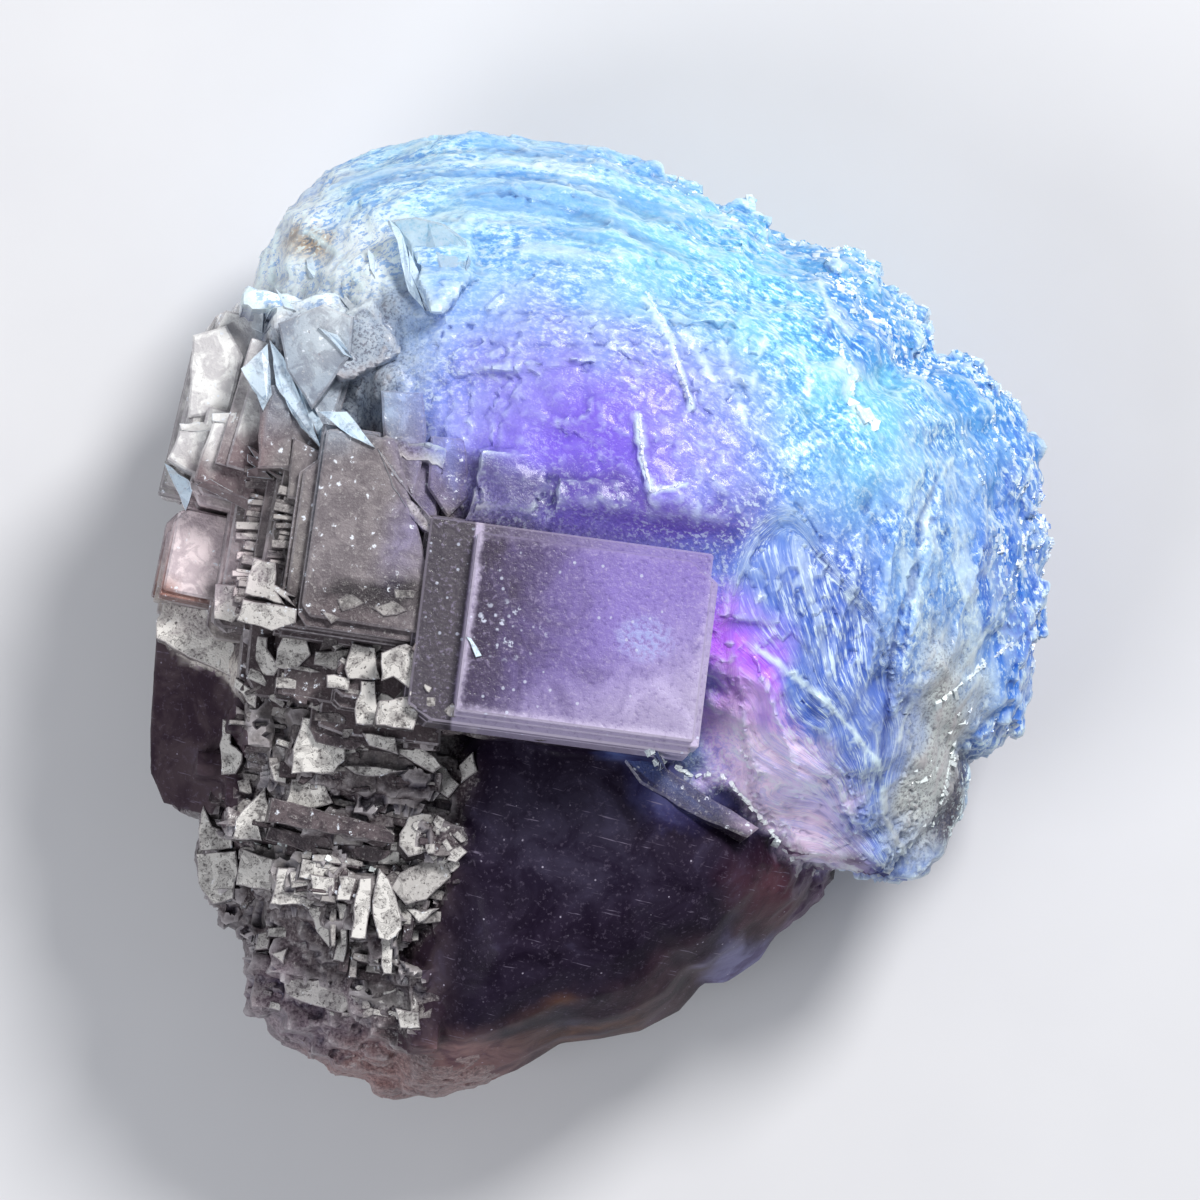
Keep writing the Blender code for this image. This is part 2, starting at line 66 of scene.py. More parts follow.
# colour zones of the stone as seen from above, in millimetres; each one is painted over those before it
zones = {
    "blueTop": oval((1.0, 24.0), (31.0, 15.5), -14, 0.20, "#8fc8f0"),
    "blueRight": oval((19.5, 4.0), (16.5, 27.5), 6, 0.20, "#7c9fe2"),
    "slope": oval((15.6, -7.0), (5.6, 14.0), 14, 0.35, "#7891d8"),
    "cap": oval((-4.0, 31.0), (19.0, 5.5), -2, 0.5, "#aedcf6"),
    "capEdge": oval((-22.4, 27.8), (2.8, 6.4), -24, 0.5, "#e2ecf4", 10.0),
    "feather": oval((12.5, 19.8), (13.5, 9.4), -32, 0.6, "#8ad6ee"),
    "periwinkle": oval((-2.9, 18.0), (13.5, 6.2), -8, 0.6, "#9db8ee"),
    "violet": oval((-0.2, 12.4), (11.4, 6.6), -12, 0.6, "#938de4"),
    "deepViolet": oval((-0.8, 12.2), (5.0, 3.8), 0, 0.7, "#7c62dc"),
    "blockyPurple": oval((1.3, 7.9), (9.2, 2.2), -4, 0.5, "#6553ac"),
    "dullViolet": oval((-7.8, 9.4), (3.8, 2.6), -8, 0.6, "#5f588e"),
    "magenta": oval((9.7, -5.6), (2.7, 7.4), 15, 0.6, "#c470ff", 12.0),
    # a painted pool of light, where shade falls beside the square crystal
    "magentaFootLit": oval((8.5, -7.2), (1.5, 2.8), 12, 0.7, "#dca6ff", 12.0),
    "pink": oval((12.9, -12.6), (3.4, 6.4), 34, 0.5, "#fadfff", 12.0),
    "flank": oval((24.3, 2.4), (4.6, 9.0), 10, 0.5, "#98bfec"),
    "olive": oval((23.4, -9.4), (2.9, 7.8), -10, 0.5, "#c8cfce", 8.0),
    "oliveFoot": oval((25.5, -13.6), (1.9, 3.8), -15, 0.6, "#5a5762", 8.0),
    "drusyBlue": oval((29.0, -0.6), (1.9, 8.6), 4, 0.5, "#3f7cd8", 8.0),
    "drusyUpper": oval((21.8, 19.6), (11.5, 2.3), -38, 0.6, "#559fe2", 8.0),
    "crust": oval((-20.0, 24.4), (6.4, 4.0), 20, 0.5, "#f2fbff", 12.0),
    "tan": oval((-20.8, 27.0), (1.5, 1.3), 0, 0.8, "#b9a692", 20.0),
    "warmGrey": oval((-18.4, 4.6), (8.4, 10.6), -8, 0.14, "#80787c", 16.0),
    "fractured": oval((-19.4, 18.4), (7.0, 4.6), 10, 0.4, "#a3aebc", 20.0),
    "paleBlock": oval((-28.4, 16.4), (3.2, 8.0), -13, 0.4, "#f0efee", 12.0),
    "brownMauve": oval((-25.9, 11.2), (2.0, 2.8), -10, 0.3, "#7d6c70", 22.0),
    "columns": oval((-23.4, 4.4), (2.6, 6.8), -8, 0.3, "#857f7e", 18.0),
    "pinkLavender": oval((-28.4, 4.8), (3.6, 4.2), 0, 0.2, "#eadade", 17.0),
    "brownPink": oval((-31.0, 1.8), (1.4, 1.4), 0, 0.6, "#a4756a", 20.0),
    "corner": oval((-19.7, -15.4), (10.4, 18.0), 8, 0.2, "#5a4f53"),
    "edgeBlock": area([(-36.0, -2.6), (-29.0, -2.2), (-26.0, -4.6), (-25.6, -10.5), (-27.4, -14.6),
                       (-36.0, -15.0)], 0.4, "#463a40"),
    "lobe": area([(-9.6, -8.2), (-3.0, -7.7), (1.7, -8.4), (7.1, -11.3), (11.9, -15.3), (16.2, -17.4),
                  (24.0, -20.0), (18.0, -30.0), (8.0, -40.0), (-4.0, -40.0), (-6.4, -33.4), (-11.8, -31.8),
                  (-14.4, -29.2), (-12.9, -26.6), (-13.6, -24.2), (-11.4, -21.4), (-10.6, -18.0),
                  (-9.5, -15.6), (-9.2, -11.7)], 1.1, "#261e2f"),
    "blockTop": area([(-33.0, -1.5), (-32.4, 1.6), (-27.2, 0.8), (-25.4, -3.2),
                      (-26.2, -4.4)], 0.25, "#cdc6c0", 19.0),
    # painted shade in a recess at the foot of the tall face
    "faceHollowShade": oval((-15.8, 1.4), (4.0, 1.6), -8, 0.3, "#2c252b"),
    "faceCrust": oval((-12.4, 7.4), (1.6, 3.8), 28, 0.5, "#a89f9a", 20.0),
    "faceViolet": oval((-12.9, 9.4), (2.0, 5.0), -8, 0.9, "#857ca4"),
    "lobeFoot": oval((-12.4, -33.0), (11.0, 3.2), 4, 0.5, "#94716f"),
    "cornerShade": oval((-13.2, -24.0), (2.6, 9.0), 0, 0.8, "#41363d"),
    "lowMauve": oval((-21.9, -28.4), (5.0, 3.0), -30, 0.6, "#80707a"),
    "slate": oval((-2.0, -15.0), (6.0, 4.4), -10, 0.8, "#2f2a3b"),
    "lobeBrown": oval((1.6, -28.6), (9.4, 1.8), 22, 0.8, "#45303a", 8.0),
    "orangeTint": oval((-1.6, -29.6), (4.0, 1.0), 8, 0.9, "#6a4630", 12.0),
    "maroonTint": oval((11.9, -19.0), (2.8, 2.0), 40, 0.9, "#54303c", 12.0),
    # a painted sheen along the rim of the dark lobe
    "lobeRimSheen": oval((9.8, -24.6), (3.2, 1.3), 42, 0.6, "#7a789e", 13.0),
    "lobeEdge": oval((14.8, -20.6), (1.3, 3.4), -30, 0.6, "#6e5a72", 10.0),
    "bluePatch": oval((1.4, -9.0), (2.4, 1.0), -14, 0.6, "#6c83cc"),
    "slateBlade": oval((5.8, -12.0), (6.2, 1.5), -26, 0.4, "#41426c", 18.0),
}
groundColour = "#4a4048"


# the picture's point over the origin, and the millimetres in one of its pixels
picture = {"middle": (601.5, 619.0), "scale": 0.0725}
# ridges and grooves: width and rise in millimetres, how light or dark the line is (light lines partly white
# ridges and partly painted highlight, dark lines painted shade in the grooves), its places in the picture
strokeLooks = {"width": 0.65, "rise": 0.5, "stray": 0.15, "above": 12.0}
strokes = [
    (0.55, 0.35, 0.9, [(645, 308), (670, 347), (680, 383), (690, 413)]),
    (0.45, 0.25, 0.8, [(635, 420), (641, 473), (653, 495), (683, 488)]),
    (0.8, 0.4, 0.9, [(833, 367), (847, 377), (840, 403), (857, 423)]),
    (0.5, 0.2, 0.7, [(817, 287), (827, 320), (847, 340)]),
    (0.4, 0.15, 0.6, [(683, 340), (697, 362), (710, 387)]),
    (0.4, 0.15, 0.6, [(760, 347), (752, 372), (747, 400)]),
    (0.4, 0.15, 0.6, [(780, 360), (772, 380), (767, 407)]),
    (0.4, 0.15, 0.6, [(797, 353), (803, 380), (803, 407)]),
    (0.4, 0.15, 0.5, [(720, 350), (728, 385), (742, 430)]),
    (0.4, 0.2, 0.6, [(947, 460), (923, 493), (917, 533), (900, 587)]),
    (0.5, -0.3, -0.8, [(930, 480), (912, 520), (905, 587), (896, 650)]),
    (0.55, -0.35, -0.8, [(912, 560), (889, 622), (882, 668), (880, 730), (874, 783)]),
    (0.8, -0.15, -0.4, [(863, 500), (853, 553), (847, 610)]),
    (0.4, -0.15, -0.5, [(940, 520), (932, 570), (925, 640)]),
    (0.45, 0.25, 0.8, [(751, 645), (820, 698), (874, 760), (882, 814), (905, 860)]),
    (0.4, 0.15, 0.6, [(958, 598), (912, 675), (893, 737)]),
    (0.4, 0.15, 0.6, [(982, 629), (935, 706), (912, 775)]),
    (0.35, 0.15, 0.7, [(974, 675), (951, 714), (930, 790)]),
    (0.5, -0.15, -0.5, [(340, 177), (407, 160), (487, 153), (553, 160)]),
    (0.5, -0.15, -0.5, [(353, 193), (427, 177), (513, 180), (600, 200), (680, 235)]),
    (0.5, -0.15, -0.5, [(420, 207), (513, 200), (600, 227), (690, 270)]),
    (0.45, -0.12, -0.4, [(440, 227), (527, 230), (600, 253)]),
    (0.5, 0.12, 0.5, [(320, 195), (400, 172), (500, 165), (600, 185)]),
    (0.5, -0.2, -0.4, [(433, 340), (513, 353), (600, 353), (640, 372)]),
    (0.45, -0.15, -0.3, [(420, 312), (500, 322), (590, 320)]),
    (0.5, 0.25, 0.7, [(280, 233), (273, 280), (300, 313)]),
    (0.6, 0.2, 0.6, [(268, 250), (262, 285), (250, 310)]),
    (0.45, 0.2, 0.5, [(310, 235), (345, 262), (372, 300)]),
]


# numbers over the surface

def smoothStep(low, high, values):
    part = np.clip((values - low) / (high - low), 0.0, 1.0)
    return part * part * (3.0 - 2.0 * part)


def gridHash(cells, seed):
    # one number from -1 to 1 for each whole-numbered cell
    mixed = cells[:, 0] * 374761393 + cells[:, 1] * 668265263 + cells[:, 2] * 1440662683 + seed * 1013904223
    mixed = (mixed ^ (mixed >> 13)) * 1274126177
    mixed = mixed ^ (mixed >> 16)
    return (mixed & 0xFFFFF) / float(0x7FFFF) - 1.0


def smoothNoise(points, seed, scale=1.0):
    # soft noise from -1 to 1 at each point
    places = points * scale
    cells = np.floor(places).astype(np.int64)
    part = places - cells
    part = part * part * (3.0 - 2.0 * part)
    total = np.zeros(len(points))
    for corner in itertools.product((0, 1), repeat=3):
        share = np.prod(np.where(np.array(corner) == 1, part, 1.0 - part), axis=1)
        total += share * gridHash(cells + np.array(corner), seed)
    return total


def layeredNoise(points, seed, scale, layers):
    total = np.zeros(len(points))
    for layer in range(layers):
        total += smoothNoise(points, seed + layer * 17, scale * 2.0 ** layer) / 2.0 ** layer
    return total


def awayFrom(points, start, end):
    # how far each point is from the line between two places
    step = end - start
    part = np.clip(((points[:, :2] - start) @ step) / (step @ step), 0.0, 1.0)
    return np.hypot(*(points[:, :2] - start - part[:, None] * step).T)


def reachInside(points, outline):
    # distance to an outline, positive inside it
    corners = np.array(outline)
    nearest = np.full(len(points), 1e9)
    inside = np.zeros(len(points), dtype=bool)
    for start, end in zip(corners, np.roll(corners, -1, axis=0)):
        step = end - start
        nearest = np.minimum(nearest, awayFrom(points, start, end))
        crosses = (start[1] > points[:, 1]) != (end[1] > points[:, 1])
        rise = step[1] if step[1] != 0.0 else 1e-9
        inside ^= crosses & (points[:, 0] < start[0] + (points[:, 1] - start[1]) * step[0] / rise)
    return np.where(inside, nearest, -nearest)


def zoneShare(points, zone):
    # how far inside a zone each point is, from 0 to 1
    if "outline" in zone:
        return smoothStep(-zone["fade"], zone["fade"], reachInside(points, zone["outline"]))
    turn = math.radians(zone["turn"])
    dx = points[:, 0] - zone["at"][0]
    dy = points[:, 1] - zone["at"][1]
    along = (dx * math.cos(turn) + dy * math.sin(turn)) / zone["size"][0]
    across = (-dx * math.sin(turn) + dy * math.cos(turn)) / zone["size"][1]
    return 1.0 - smoothStep(1.0 - zone["edge"], 1.0 + zone["edge"], np.hypot(along, across))


def fromPicture(spot):
    # a place in the picture as millimetres on the stone
    return Vector(((spot[0] - picture["middle"][0]), (picture["middle"][1] - spot[1]))) * picture["scale"]


def strokeShares(points):
    # what each point gets from the drawn ridges and grooves: rise, light, dark
    rise = np.zeros(len(points))
    light = np.zeros(len(points))
    dark = np.zeros(len(points))
    stray = smoothNoise(points, 83, 1.1) * strokeLooks["stray"]
    for width, lift, shine, places in strokes:
        run = [np.array(fromPicture(spot)) for spot in places]
        near = np.full(len(points), 1e9)
        for start, end in zip(run, run[1:]):
            near = np.minimum(near, awayFrom(points, start, end))
        share = 1.0 - smoothStep(0.15, 1.0, (near + stray) / (width * strokeLooks["width"]))
        share = share * (points[:, 2] > strokeLooks["above"])
        rise += share * lift * strokeLooks["rise"]
        light = np.maximum(light, share * shine)
        dark = np.maximum(dark, -share * shine)
    return rise, light, dark


def wanderingOf(points):
    # the points moved about a little, so that borders taken at them wander
    stray = np.stack([layeredNoise(points, seed, 0.22, 3) for seed in (41, 42, 43)], axis=1)
    return points + stray * 1.7


def zoneColourAt(points):
    # the stone's colour at each point, zone over zone
    wandering = wanderingOf(points)
    colour = np.tile(np.array(tone(groundColour)), (len(points), 1))
    for zone in zones.values():
        share = zoneShare(wandering, zone)[:, None]
        share = share * smoothStep(-4.0, 4.0, wandering[:, 2] - zone["above"])[:, None]
        colour = colour * (1.0 - share) + np.array(tone(zone["colour"]))[None, :] * share
    return colour, wandering


def latticeAxes(turnDegrees=0.0):
    # a crystal's own axes as columns: right, up, out of its face
    out = Vector(lattice["lean"]).normalized()
    turn = math.radians(lattice["turn"] + turnDegrees)
    right = Vector((math.cos(turn), math.sin(turn), 0.0))
    right = (right - out * right.dot(out)).normalized()
    return Matrix((right, out.cross(right), out)).transposed()


# shader building

def tone(code):
    # a screen colour as linear light
    parts = [int(code[n:n + 2], 16) / 255.0 for n in (1, 3, 5)]
    linear = [part / 12.92 if part <= 0.04045 else ((part + 0.055) / 1.055) ** 2.4 for part in parts]
    return (*linear, 1.0)


class Value:
    # a socket that can stand in a sum
    def __init__(self, graph, socket):
        self.graph = graph
        self.socket = socket

    def math(self, operation, first, second=0.0):
        return self.graph.add("ShaderNodeMath", {"operation": operation}, {0: first, 1: second})

    def __add__(self, other):
        return self.math("ADD", self, other)

    def __radd__(self, other):
        return self.math("ADD", other, self)

    def __sub__(self, other):
        return self.math("SUBTRACT", self, other)

    def __rsub__(self, other):
        return self.math("SUBTRACT", other, self)

    def __mul__(self, other):
        return self.math("MULTIPLY", self, other)

    def __rmul__(self, other):
        return self.math("MULTIPLY", other, self)

    def __abs__(self):
        return self.math("ABSOLUTE", self)

    def most(self, other):
        return self.math("MAXIMUM", self, other)

    def least(self, other):
        return self.math("MINIMUM", self, other)

    def over(self, low, high):
        # 0 below low, 1 above high, soft between
        settings = {"interpolation_type": "SMOOTHSTEP"}
        sockets = {"Value": self, "From Min": low, "From Max": high}
        return self.graph.add("ShaderNodeMapRange", settings, sockets)


class Graph:
    # the nodes of one material
    def __init__(self, name):
        self.material = bpy.data.materials.new(name)
        self.material.use_nodes = True
        self.tree = self.material.node_tree
        self.tree.nodes.clear()

    def add(self, kind, settings=None, sockets=None, out=0):
        node = self.tree.nodes.new(kind)
        for name, value in (settings or {}).items():
            setattr(node, name, value)
        for key, value in (sockets or {}).items():
            if isinstance(value, Value):
                self.tree.links.new(value.socket, node.inputs[key])
            else:
                node.inputs[key].default_value = value
        return Value(self, node.outputs[out])

    def mix(self, share, first, second, blend="MIX"):
        settings = {"data_type": "RGBA", "blend_type": blend}
        return self.add("ShaderNodeMix", settings, {0: share, 6: first, 7: second}, 2)

    def shade(self, colour, by):
        return self.mix(1.0, colour, (*by, 1.0), "MULTIPLY")

    def vector(self, operation, first, second):
        return self.add("ShaderNodeVectorMath", {"operation": operation}, {0: first, 1: second})

    def noise(self, place, scale, detail=2.0, roughness=0.5, distortion=0.0):
        sockets = {"Vector": place, "Scale": scale, "Detail": detail, "Roughness": roughness,
                   "Distortion": distortion}
        return self.add("ShaderNodeTexNoise", None, sockets)

    def cells(self, place, scale, distance="EUCLIDEAN"):
        return self.add("ShaderNodeTexVoronoi", {"distance": distance}, {"Vector": place, "Scale": scale})

    def stretch(self, place, size, turnDegrees=0.0):
        # a pattern drawn out along its own x and y, turned in the plane
        sockets = {"Vector": place, "Rotation": (0.0, 0.0, math.radians(turnDegrees)), "Scale": size}
        return self.add("ShaderNodeMapping", {"vector_type": "TEXTURE"}, sockets)

    def attribute(self, name, out="Fac"):
        return self.add("ShaderNodeAttribute", {"attribute_name": name}, None, out)

    def bump(self, height, strength, depth):
        sockets = {"Strength": strength, "Distance": depth * mm, "Height": height}
        return self.add("ShaderNodeBump", None, sockets)

    def place(self):
        # the shaded point in millimetres
        coordinates = self.add("ShaderNodeTexCoord", None, None, "Object")
        return self.vector("MULTIPLY", coordinates, (1.0 / mm, 1.0 / mm, 1.0 / mm))


fluorite = {
    "ior": 1.434,
    "clearShare": 0.06,       # how much of the body is clear; the rest is milky
    "density": 60.0,          # absorption to a metre
    "deep": "#8a78c8",        # the colour that is left after absorption
    "roughness": 0.26,
    "coat": 0.15,
    "clearRoughness": 0.1,
    "clearPale": 0.45,        # how far the clear share is paler than the stone's colour
}


def finishStone(graph, settings, colour, roughness, bump, clearness, coat, specular=0.35):
    # milky stone and clear stone mixed, over one plain absorption
    milky = graph.add("ShaderNodeBsdfPrincipled", None, {
        "Base Color": colour,
        "Roughness": roughness,
        "IOR": settings["ior"],
        "Coat Weight": coat,
        "Coat Roughness": 0.12,
        "Specular IOR Level": specular,
        "Normal": bump,
    }, "BSDF")
    glassy = graph.add("ShaderNodeBsdfPrincipled", None, {
        "Base Color": graph.mix(settings["clearPale"], colour, (1.0, 1.0, 1.0, 1.0)),
        "Roughness": settings["clearRoughness"],
        "IOR": settings["ior"],
        "Transmission Weight": 1.0,
        "Normal": bump,
    }, "BSDF")
    surface = graph.add("ShaderNodeMixShader", None, {0: clearness, 1: milky, 2: glassy})
    inside = graph.add("ShaderNodeVolumeAbsorption", None, {
        "Color": tone(settings["deep"]),
        "Density": settings["density"],
    })
    output = graph.tree.nodes.new("ShaderNodeOutputMaterial")
    graph.tree.links.new(surface.socket, output.inputs["Surface"])
    graph.tree.links.new(inside.socket, output.inputs["Volume"])
    return graph.material


stoneLooks = {
    "deeper": (0.38, 0.56, 0.88),        # between the flecks
    "paler": "#e8fbff",                  # on the flecks
    "rim": "#3f92de",
    # the white of the painted glints
    "glintDots": "#f6feff",
    "greyDeeper": (0.34, 0.30, 0.34),
    "greyPaler": "#d8d2d0",
    "crust": "#bcb9b6",
    "crest": ("#b4aeb2", "#e6fbff"),     # on grey stone, on blue stone
    "inShade": (0.25, 0.28, 0.46),
    "bump": 0.55,
    "relief": 0.3,
}


def stoneMaterial(name, settings, looks):
    # the grown stone: its painted zones, flecked along the growth lines
    graph = Graph(name)
    place = graph.place()
    colour = graph.attribute("stoneColour", "Color")
    grain = graph.attribute("grain", "Vector")
    blue = graph.attribute("blue")
    calm = graph.attribute("calm")
    streaky = graph.attribute("streaky")
    drusy = graph.attribute("drusy")
    frosted = graph.attribute("frosted")
    fleck = graph.noise(graph.stretch(grain, (1.5, 0.9, 1.0)), 2.5, 2.5, 0.72)
    streak = graph.attribute("streak")
    fine = graph.noise(place, 4.2, 2.0, 0.7)
    cloud = graph.attribute("cloud")
    turned = graph.stretch(place, (1.0, 1.0, 1.0), lattice["turn"])
    glintDots = graph.cells(turned, 1.15, "CHEBYCHEV").over(0.34, 0.29)

    # blue and violet: deeper between the flecks, paler on them, white specks towards the rim as painted
    # glints
    deeper = graph.shade(colour, looks["deeper"])
    paler = graph.mix(0.78, colour, tone(looks["paler"]))
    strong = (0.45 + 0.55 * cloud.over(0.40, 0.58)) * (1.0 - 0.84 * calm)
    blueColour = graph.mix(fleck.over(0.49, 0.43) * strong, colour, deeper)
    blueColour = graph.mix(fleck.over(0.55, 0.59) * strong, blueColour, paler)
    blueColour = graph.mix(streak.over(0.54, 0.66) * streaky * 0.75, blueColour, paler)
    blueColour = graph.mix(streak.over(0.46, 0.36) * streaky * 0.65, blueColour, deeper)
    blueColour = graph.mix(drusy * 0.7, blueColour, tone(looks["rim"]))
    sparkle = glintDots * (0.6 * cloud + 0.4 * fleck + 0.16 * drusy).over(0.56, 0.60) * (0.05 + 0.95 * drusy)
    blueColour = graph.mix(sparkle, blueColour, tone(looks["glintDots"]))

    # grey stone, and the pale crackled crust of the etched corner
    greyDark = graph.shade(colour, looks["greyDeeper"])
    greyPale = graph.mix(0.4, colour, tone(looks["greyPaler"]))
    greyColour = graph.mix(fine.over(0.52, 0.38) * 0.8, colour, greyDark)
    greyColour = graph.mix(fine.over(0.54, 0.68) * 0.5, greyColour, greyPale)
    crackle = (cloud + 0.8 * fine).over(0.80, 0.90)
    greyColour = graph.mix(frosted * crackle * 0.6, greyColour, tone(looks["crust"]))
    mottled = graph.mix(blue, greyColour, blueColour)

    # crests painted lighter, partly frost and partly painted highlight; hollows and grooves darkened as
    # painted shade
    edge = graph.attribute("edge")
    paintedShade = graph.attribute("paintedShade")
    crest = graph.mix(blue, *(tone(code) for code in looks["crest"]))
    mottled = graph.mix(edge * 0.75, mottled, crest)
    mottled = graph.mix(paintedShade * 0.75, mottled, graph.shade(mottled, looks["inShade"]))

    height = fleck * blue * 0.8 + streak * streaky * 0.5 + fine * 0.3 * (1.0 - blue)
    bump = graph.bump(height, looks["bump"], looks["relief"])
    roughness = settings["roughness"] + 0.22 * fine
    return finishStone(graph, settings, mottled, roughness, bump, settings["clearShare"], settings["coat"])


smokyLooks = {
    "deeper": (0.46, 0.38, 0.50),
    "haze": "#7a7498",
    "grain": "#6e6478",
    "scratch": "#8a8096",
    "speck": "#b6aec2",
    "crest": "#84788c",
    "clearShare": 0.3,       # of the stone's own
    "specular": 0.07,
    "bump": 0.35,
    "relief": 0.2,
}


def smokyMaterial(name, settings, looks):
    # the smooth dark parts: cloudy inside, with hairline scratches and a few specks
    graph = Graph(name)
    place = graph.place()
    colour = graph.attribute("stoneColour", "Color")
    cloud = graph.noise(place, 0.26, 4.0, 0.62, 0.6)
    fine = graph.noise(place, 3.0, 3.0, 0.7)
    haze = graph.mix(0.3, colour, tone(looks["haze"]))
    mottled = graph.mix(cloud.over(0.58, 0.38), colour, graph.shade(colour, looks["deeper"]))
    mottled = graph.mix(cloud.over(0.56, 0.72) * 0.35, mottled, haze)
    mottled = graph.mix(fine.over(0.56, 0.68) * 0.25, mottled, tone(looks["grain"]))
    scratch = graph.noise(graph.stretch(place, (3.4, 0.22, 3.0), -14.0), 1.3, 2.0, 0.5).over(0.67, 0.73)
    scratch = scratch * cloud.over(0.44, 0.56)
    mottled = graph.mix(scratch * 0.5, mottled, tone(looks["scratch"]))
    speck = graph.cells(place, 1.3).over(0.12, 0.07) * cloud.over(0.50, 0.58)
    mottled = graph.mix(speck * 0.7, mottled, tone(looks["speck"]))
    # a faint painted highlight on the crests
    mottled = graph.mix(graph.attribute("edge") * 0.05, mottled, tone(looks["crest"]))
    bump = graph.bump(fine * 0.35, looks["bump"], looks["relief"])
    roughness = 0.34 + 0.2 * fine
    clearness = settings["clearShare"] * looks["clearShare"]
    return finishStone(graph, settings, mottled, roughness, bump, clearness, 0.0, looks["specular"])


# what all flat faces share; frost is dark and pale
plainLooks = {
    "frost": ("#8b8886", "#e4e1dd"),
    "deeper": (0.36, 0.33, 0.38),
    "paler": "#dcd8d6",
    "crack": "#231c20",
    "inShade": (0.25, 0.22, 0.25),
    "speck": "#eef4ff",
    "bump": 0.5,
    "relief": 0.25,
}
# each kind of face: how gritty and clear it is, the colour of its edges (partly frost, partly painted
# highlight), how mottled and cracked
faceLooks = {
    "stair": {"grit": 0.9, "clearShare": 0.08, "light": "#b0aab0", "mottle": 0.5, "crackle": 0.15},
    "etched": {"grit": 1.0, "clearShare": 0.0, "light": "#b9b4b6", "mottle": 0.85, "crackle": 0.6},
    "cool": {"grit": 0.5, "clearShare": 0.15, "light": "#dcecf8", "mottle": 0.25, "crackle": 0.05,
             "frost": ("#9fb8d2", "#d2e6f6")},
    "sparkle": {"grit": 0.3, "clearShare": 0.08, "light": "#f4feff", "mottle": 0.3, "crackle": 0.0,
                "roughness": 0.08},
    "clear": {"grit": 0.3, "clearShare": 0.45, "light": "#f4fdff", "mottle": 0.15, "crackle": 0.0,
              "roughness": 0.08, "frost": ("#a6d8f4", "#e6f8ff")},
}


def faceMaterial(name, looks):
    # broken plates and flat crystal faces: frosted tops, edges painted lighter (partly frost, partly painted
    # highlight), sides darkened as painted shade
    settings = {**fluorite, **plainLooks, **looks}
    grit = settings["grit"]
    graph = Graph(name)
    place = graph.place()
    colour = graph.attribute("stoneColour", "Color")
    edge = graph.attribute("edge")
    paintedShade = graph.attribute("paintedShade")
    bloom = graph.attribute("bloom")
    fine = graph.noise(place, 3.4, 3.0, 0.72)
    wide = graph.noise(place, 0.8, 3.0, 0.6, 0.6)
    deeper = graph.shade(colour, settings["deeper"])
    paler = graph.mix(0.55, colour, tone(settings["paler"]))
    mottled = graph.mix(wide.over(0.56, 0.40) * settings["mottle"], colour, deeper)
    mottled = graph.mix(fine.over(0.55, 0.70) * 0.55 * grit, mottled, paler)
    frostColour = graph.mix((fine + 0.6 * wide).over(0.62, 0.78), *(tone(code) for code in settings["frost"]))
    mottled = graph.mix(bloom * (0.6 + 0.4 * wide.over(0.42, 0.52)), mottled, frostColour)
    crack = abs(wide * 2.0 - 1.0).over(0.04, 0.015) * fine.over(0.45, 0.52)
    crack = crack.most(fine.over(0.39, 0.33))
    mottled = graph.mix(crack * settings["crackle"], mottled, tone(settings["crack"]))
    # painted shade on the sides and the lower slabs
    mottled = graph.mix(paintedShade * 0.85, mottled, graph.shade(mottled, settings["inShade"]))
    # edges painted lighter, partly frost and partly painted highlight; the rim cubes and bright ridges are
    # painted light all over as painted glints
    mottled = graph.mix(edge * (0.55 + 0.4 * fine.over(0.4, 0.6)), mottled, tone(settings["light"]))
    speck = graph.cells(place, 1.5).over(0.32, 0.22) * fine.over(0.50, 0.55)
    speck = speck * wide.over(0.48, 0.55) * (1.0 - bloom)
    mottled = graph.mix(speck * 0.85, mottled, tone(settings["speck"]))
    bump = graph.bump(fine * grit + wide * 0.8, settings["bump"], settings["relief"])
    roughness = (settings["roughness"] + 0.3 * fine * grit + 0.3 * bloom).least(0.9)
    clearness = (settings["clearShare"] - 0.15 * bloom).most(0.0)
    return finishStone(graph, settings, mottled, roughness, bump, clearness, settings["coat"])


squareLooks = {
    "at": (-1.1, -1.2),
    "half": (8.25, 6.2),
    "turn": -7.0,
    "clearShare": 0.30,
    "shadow": "#463b54",      # the left of the face
    "heart": "#9480cf",       # the violet inside
    "pale": "#cdc0ea",        # lower right
    "frost": "#bcb2cc",       # along the edges
    "band": "#534d56",        # the step at its left
    "cloud": "#5d5078",
    "grain": "#c4b8dc",
    "deeper": (0.5, 0.45, 0.6),
    "edge": "#c8bed0",
    "bloom": "#b2bef6",       # a pale blue patch
    "speck": "#dfe6fb",
    "coat": 0.5,
    "bump": 0.35,
    "relief": 0.25,
}


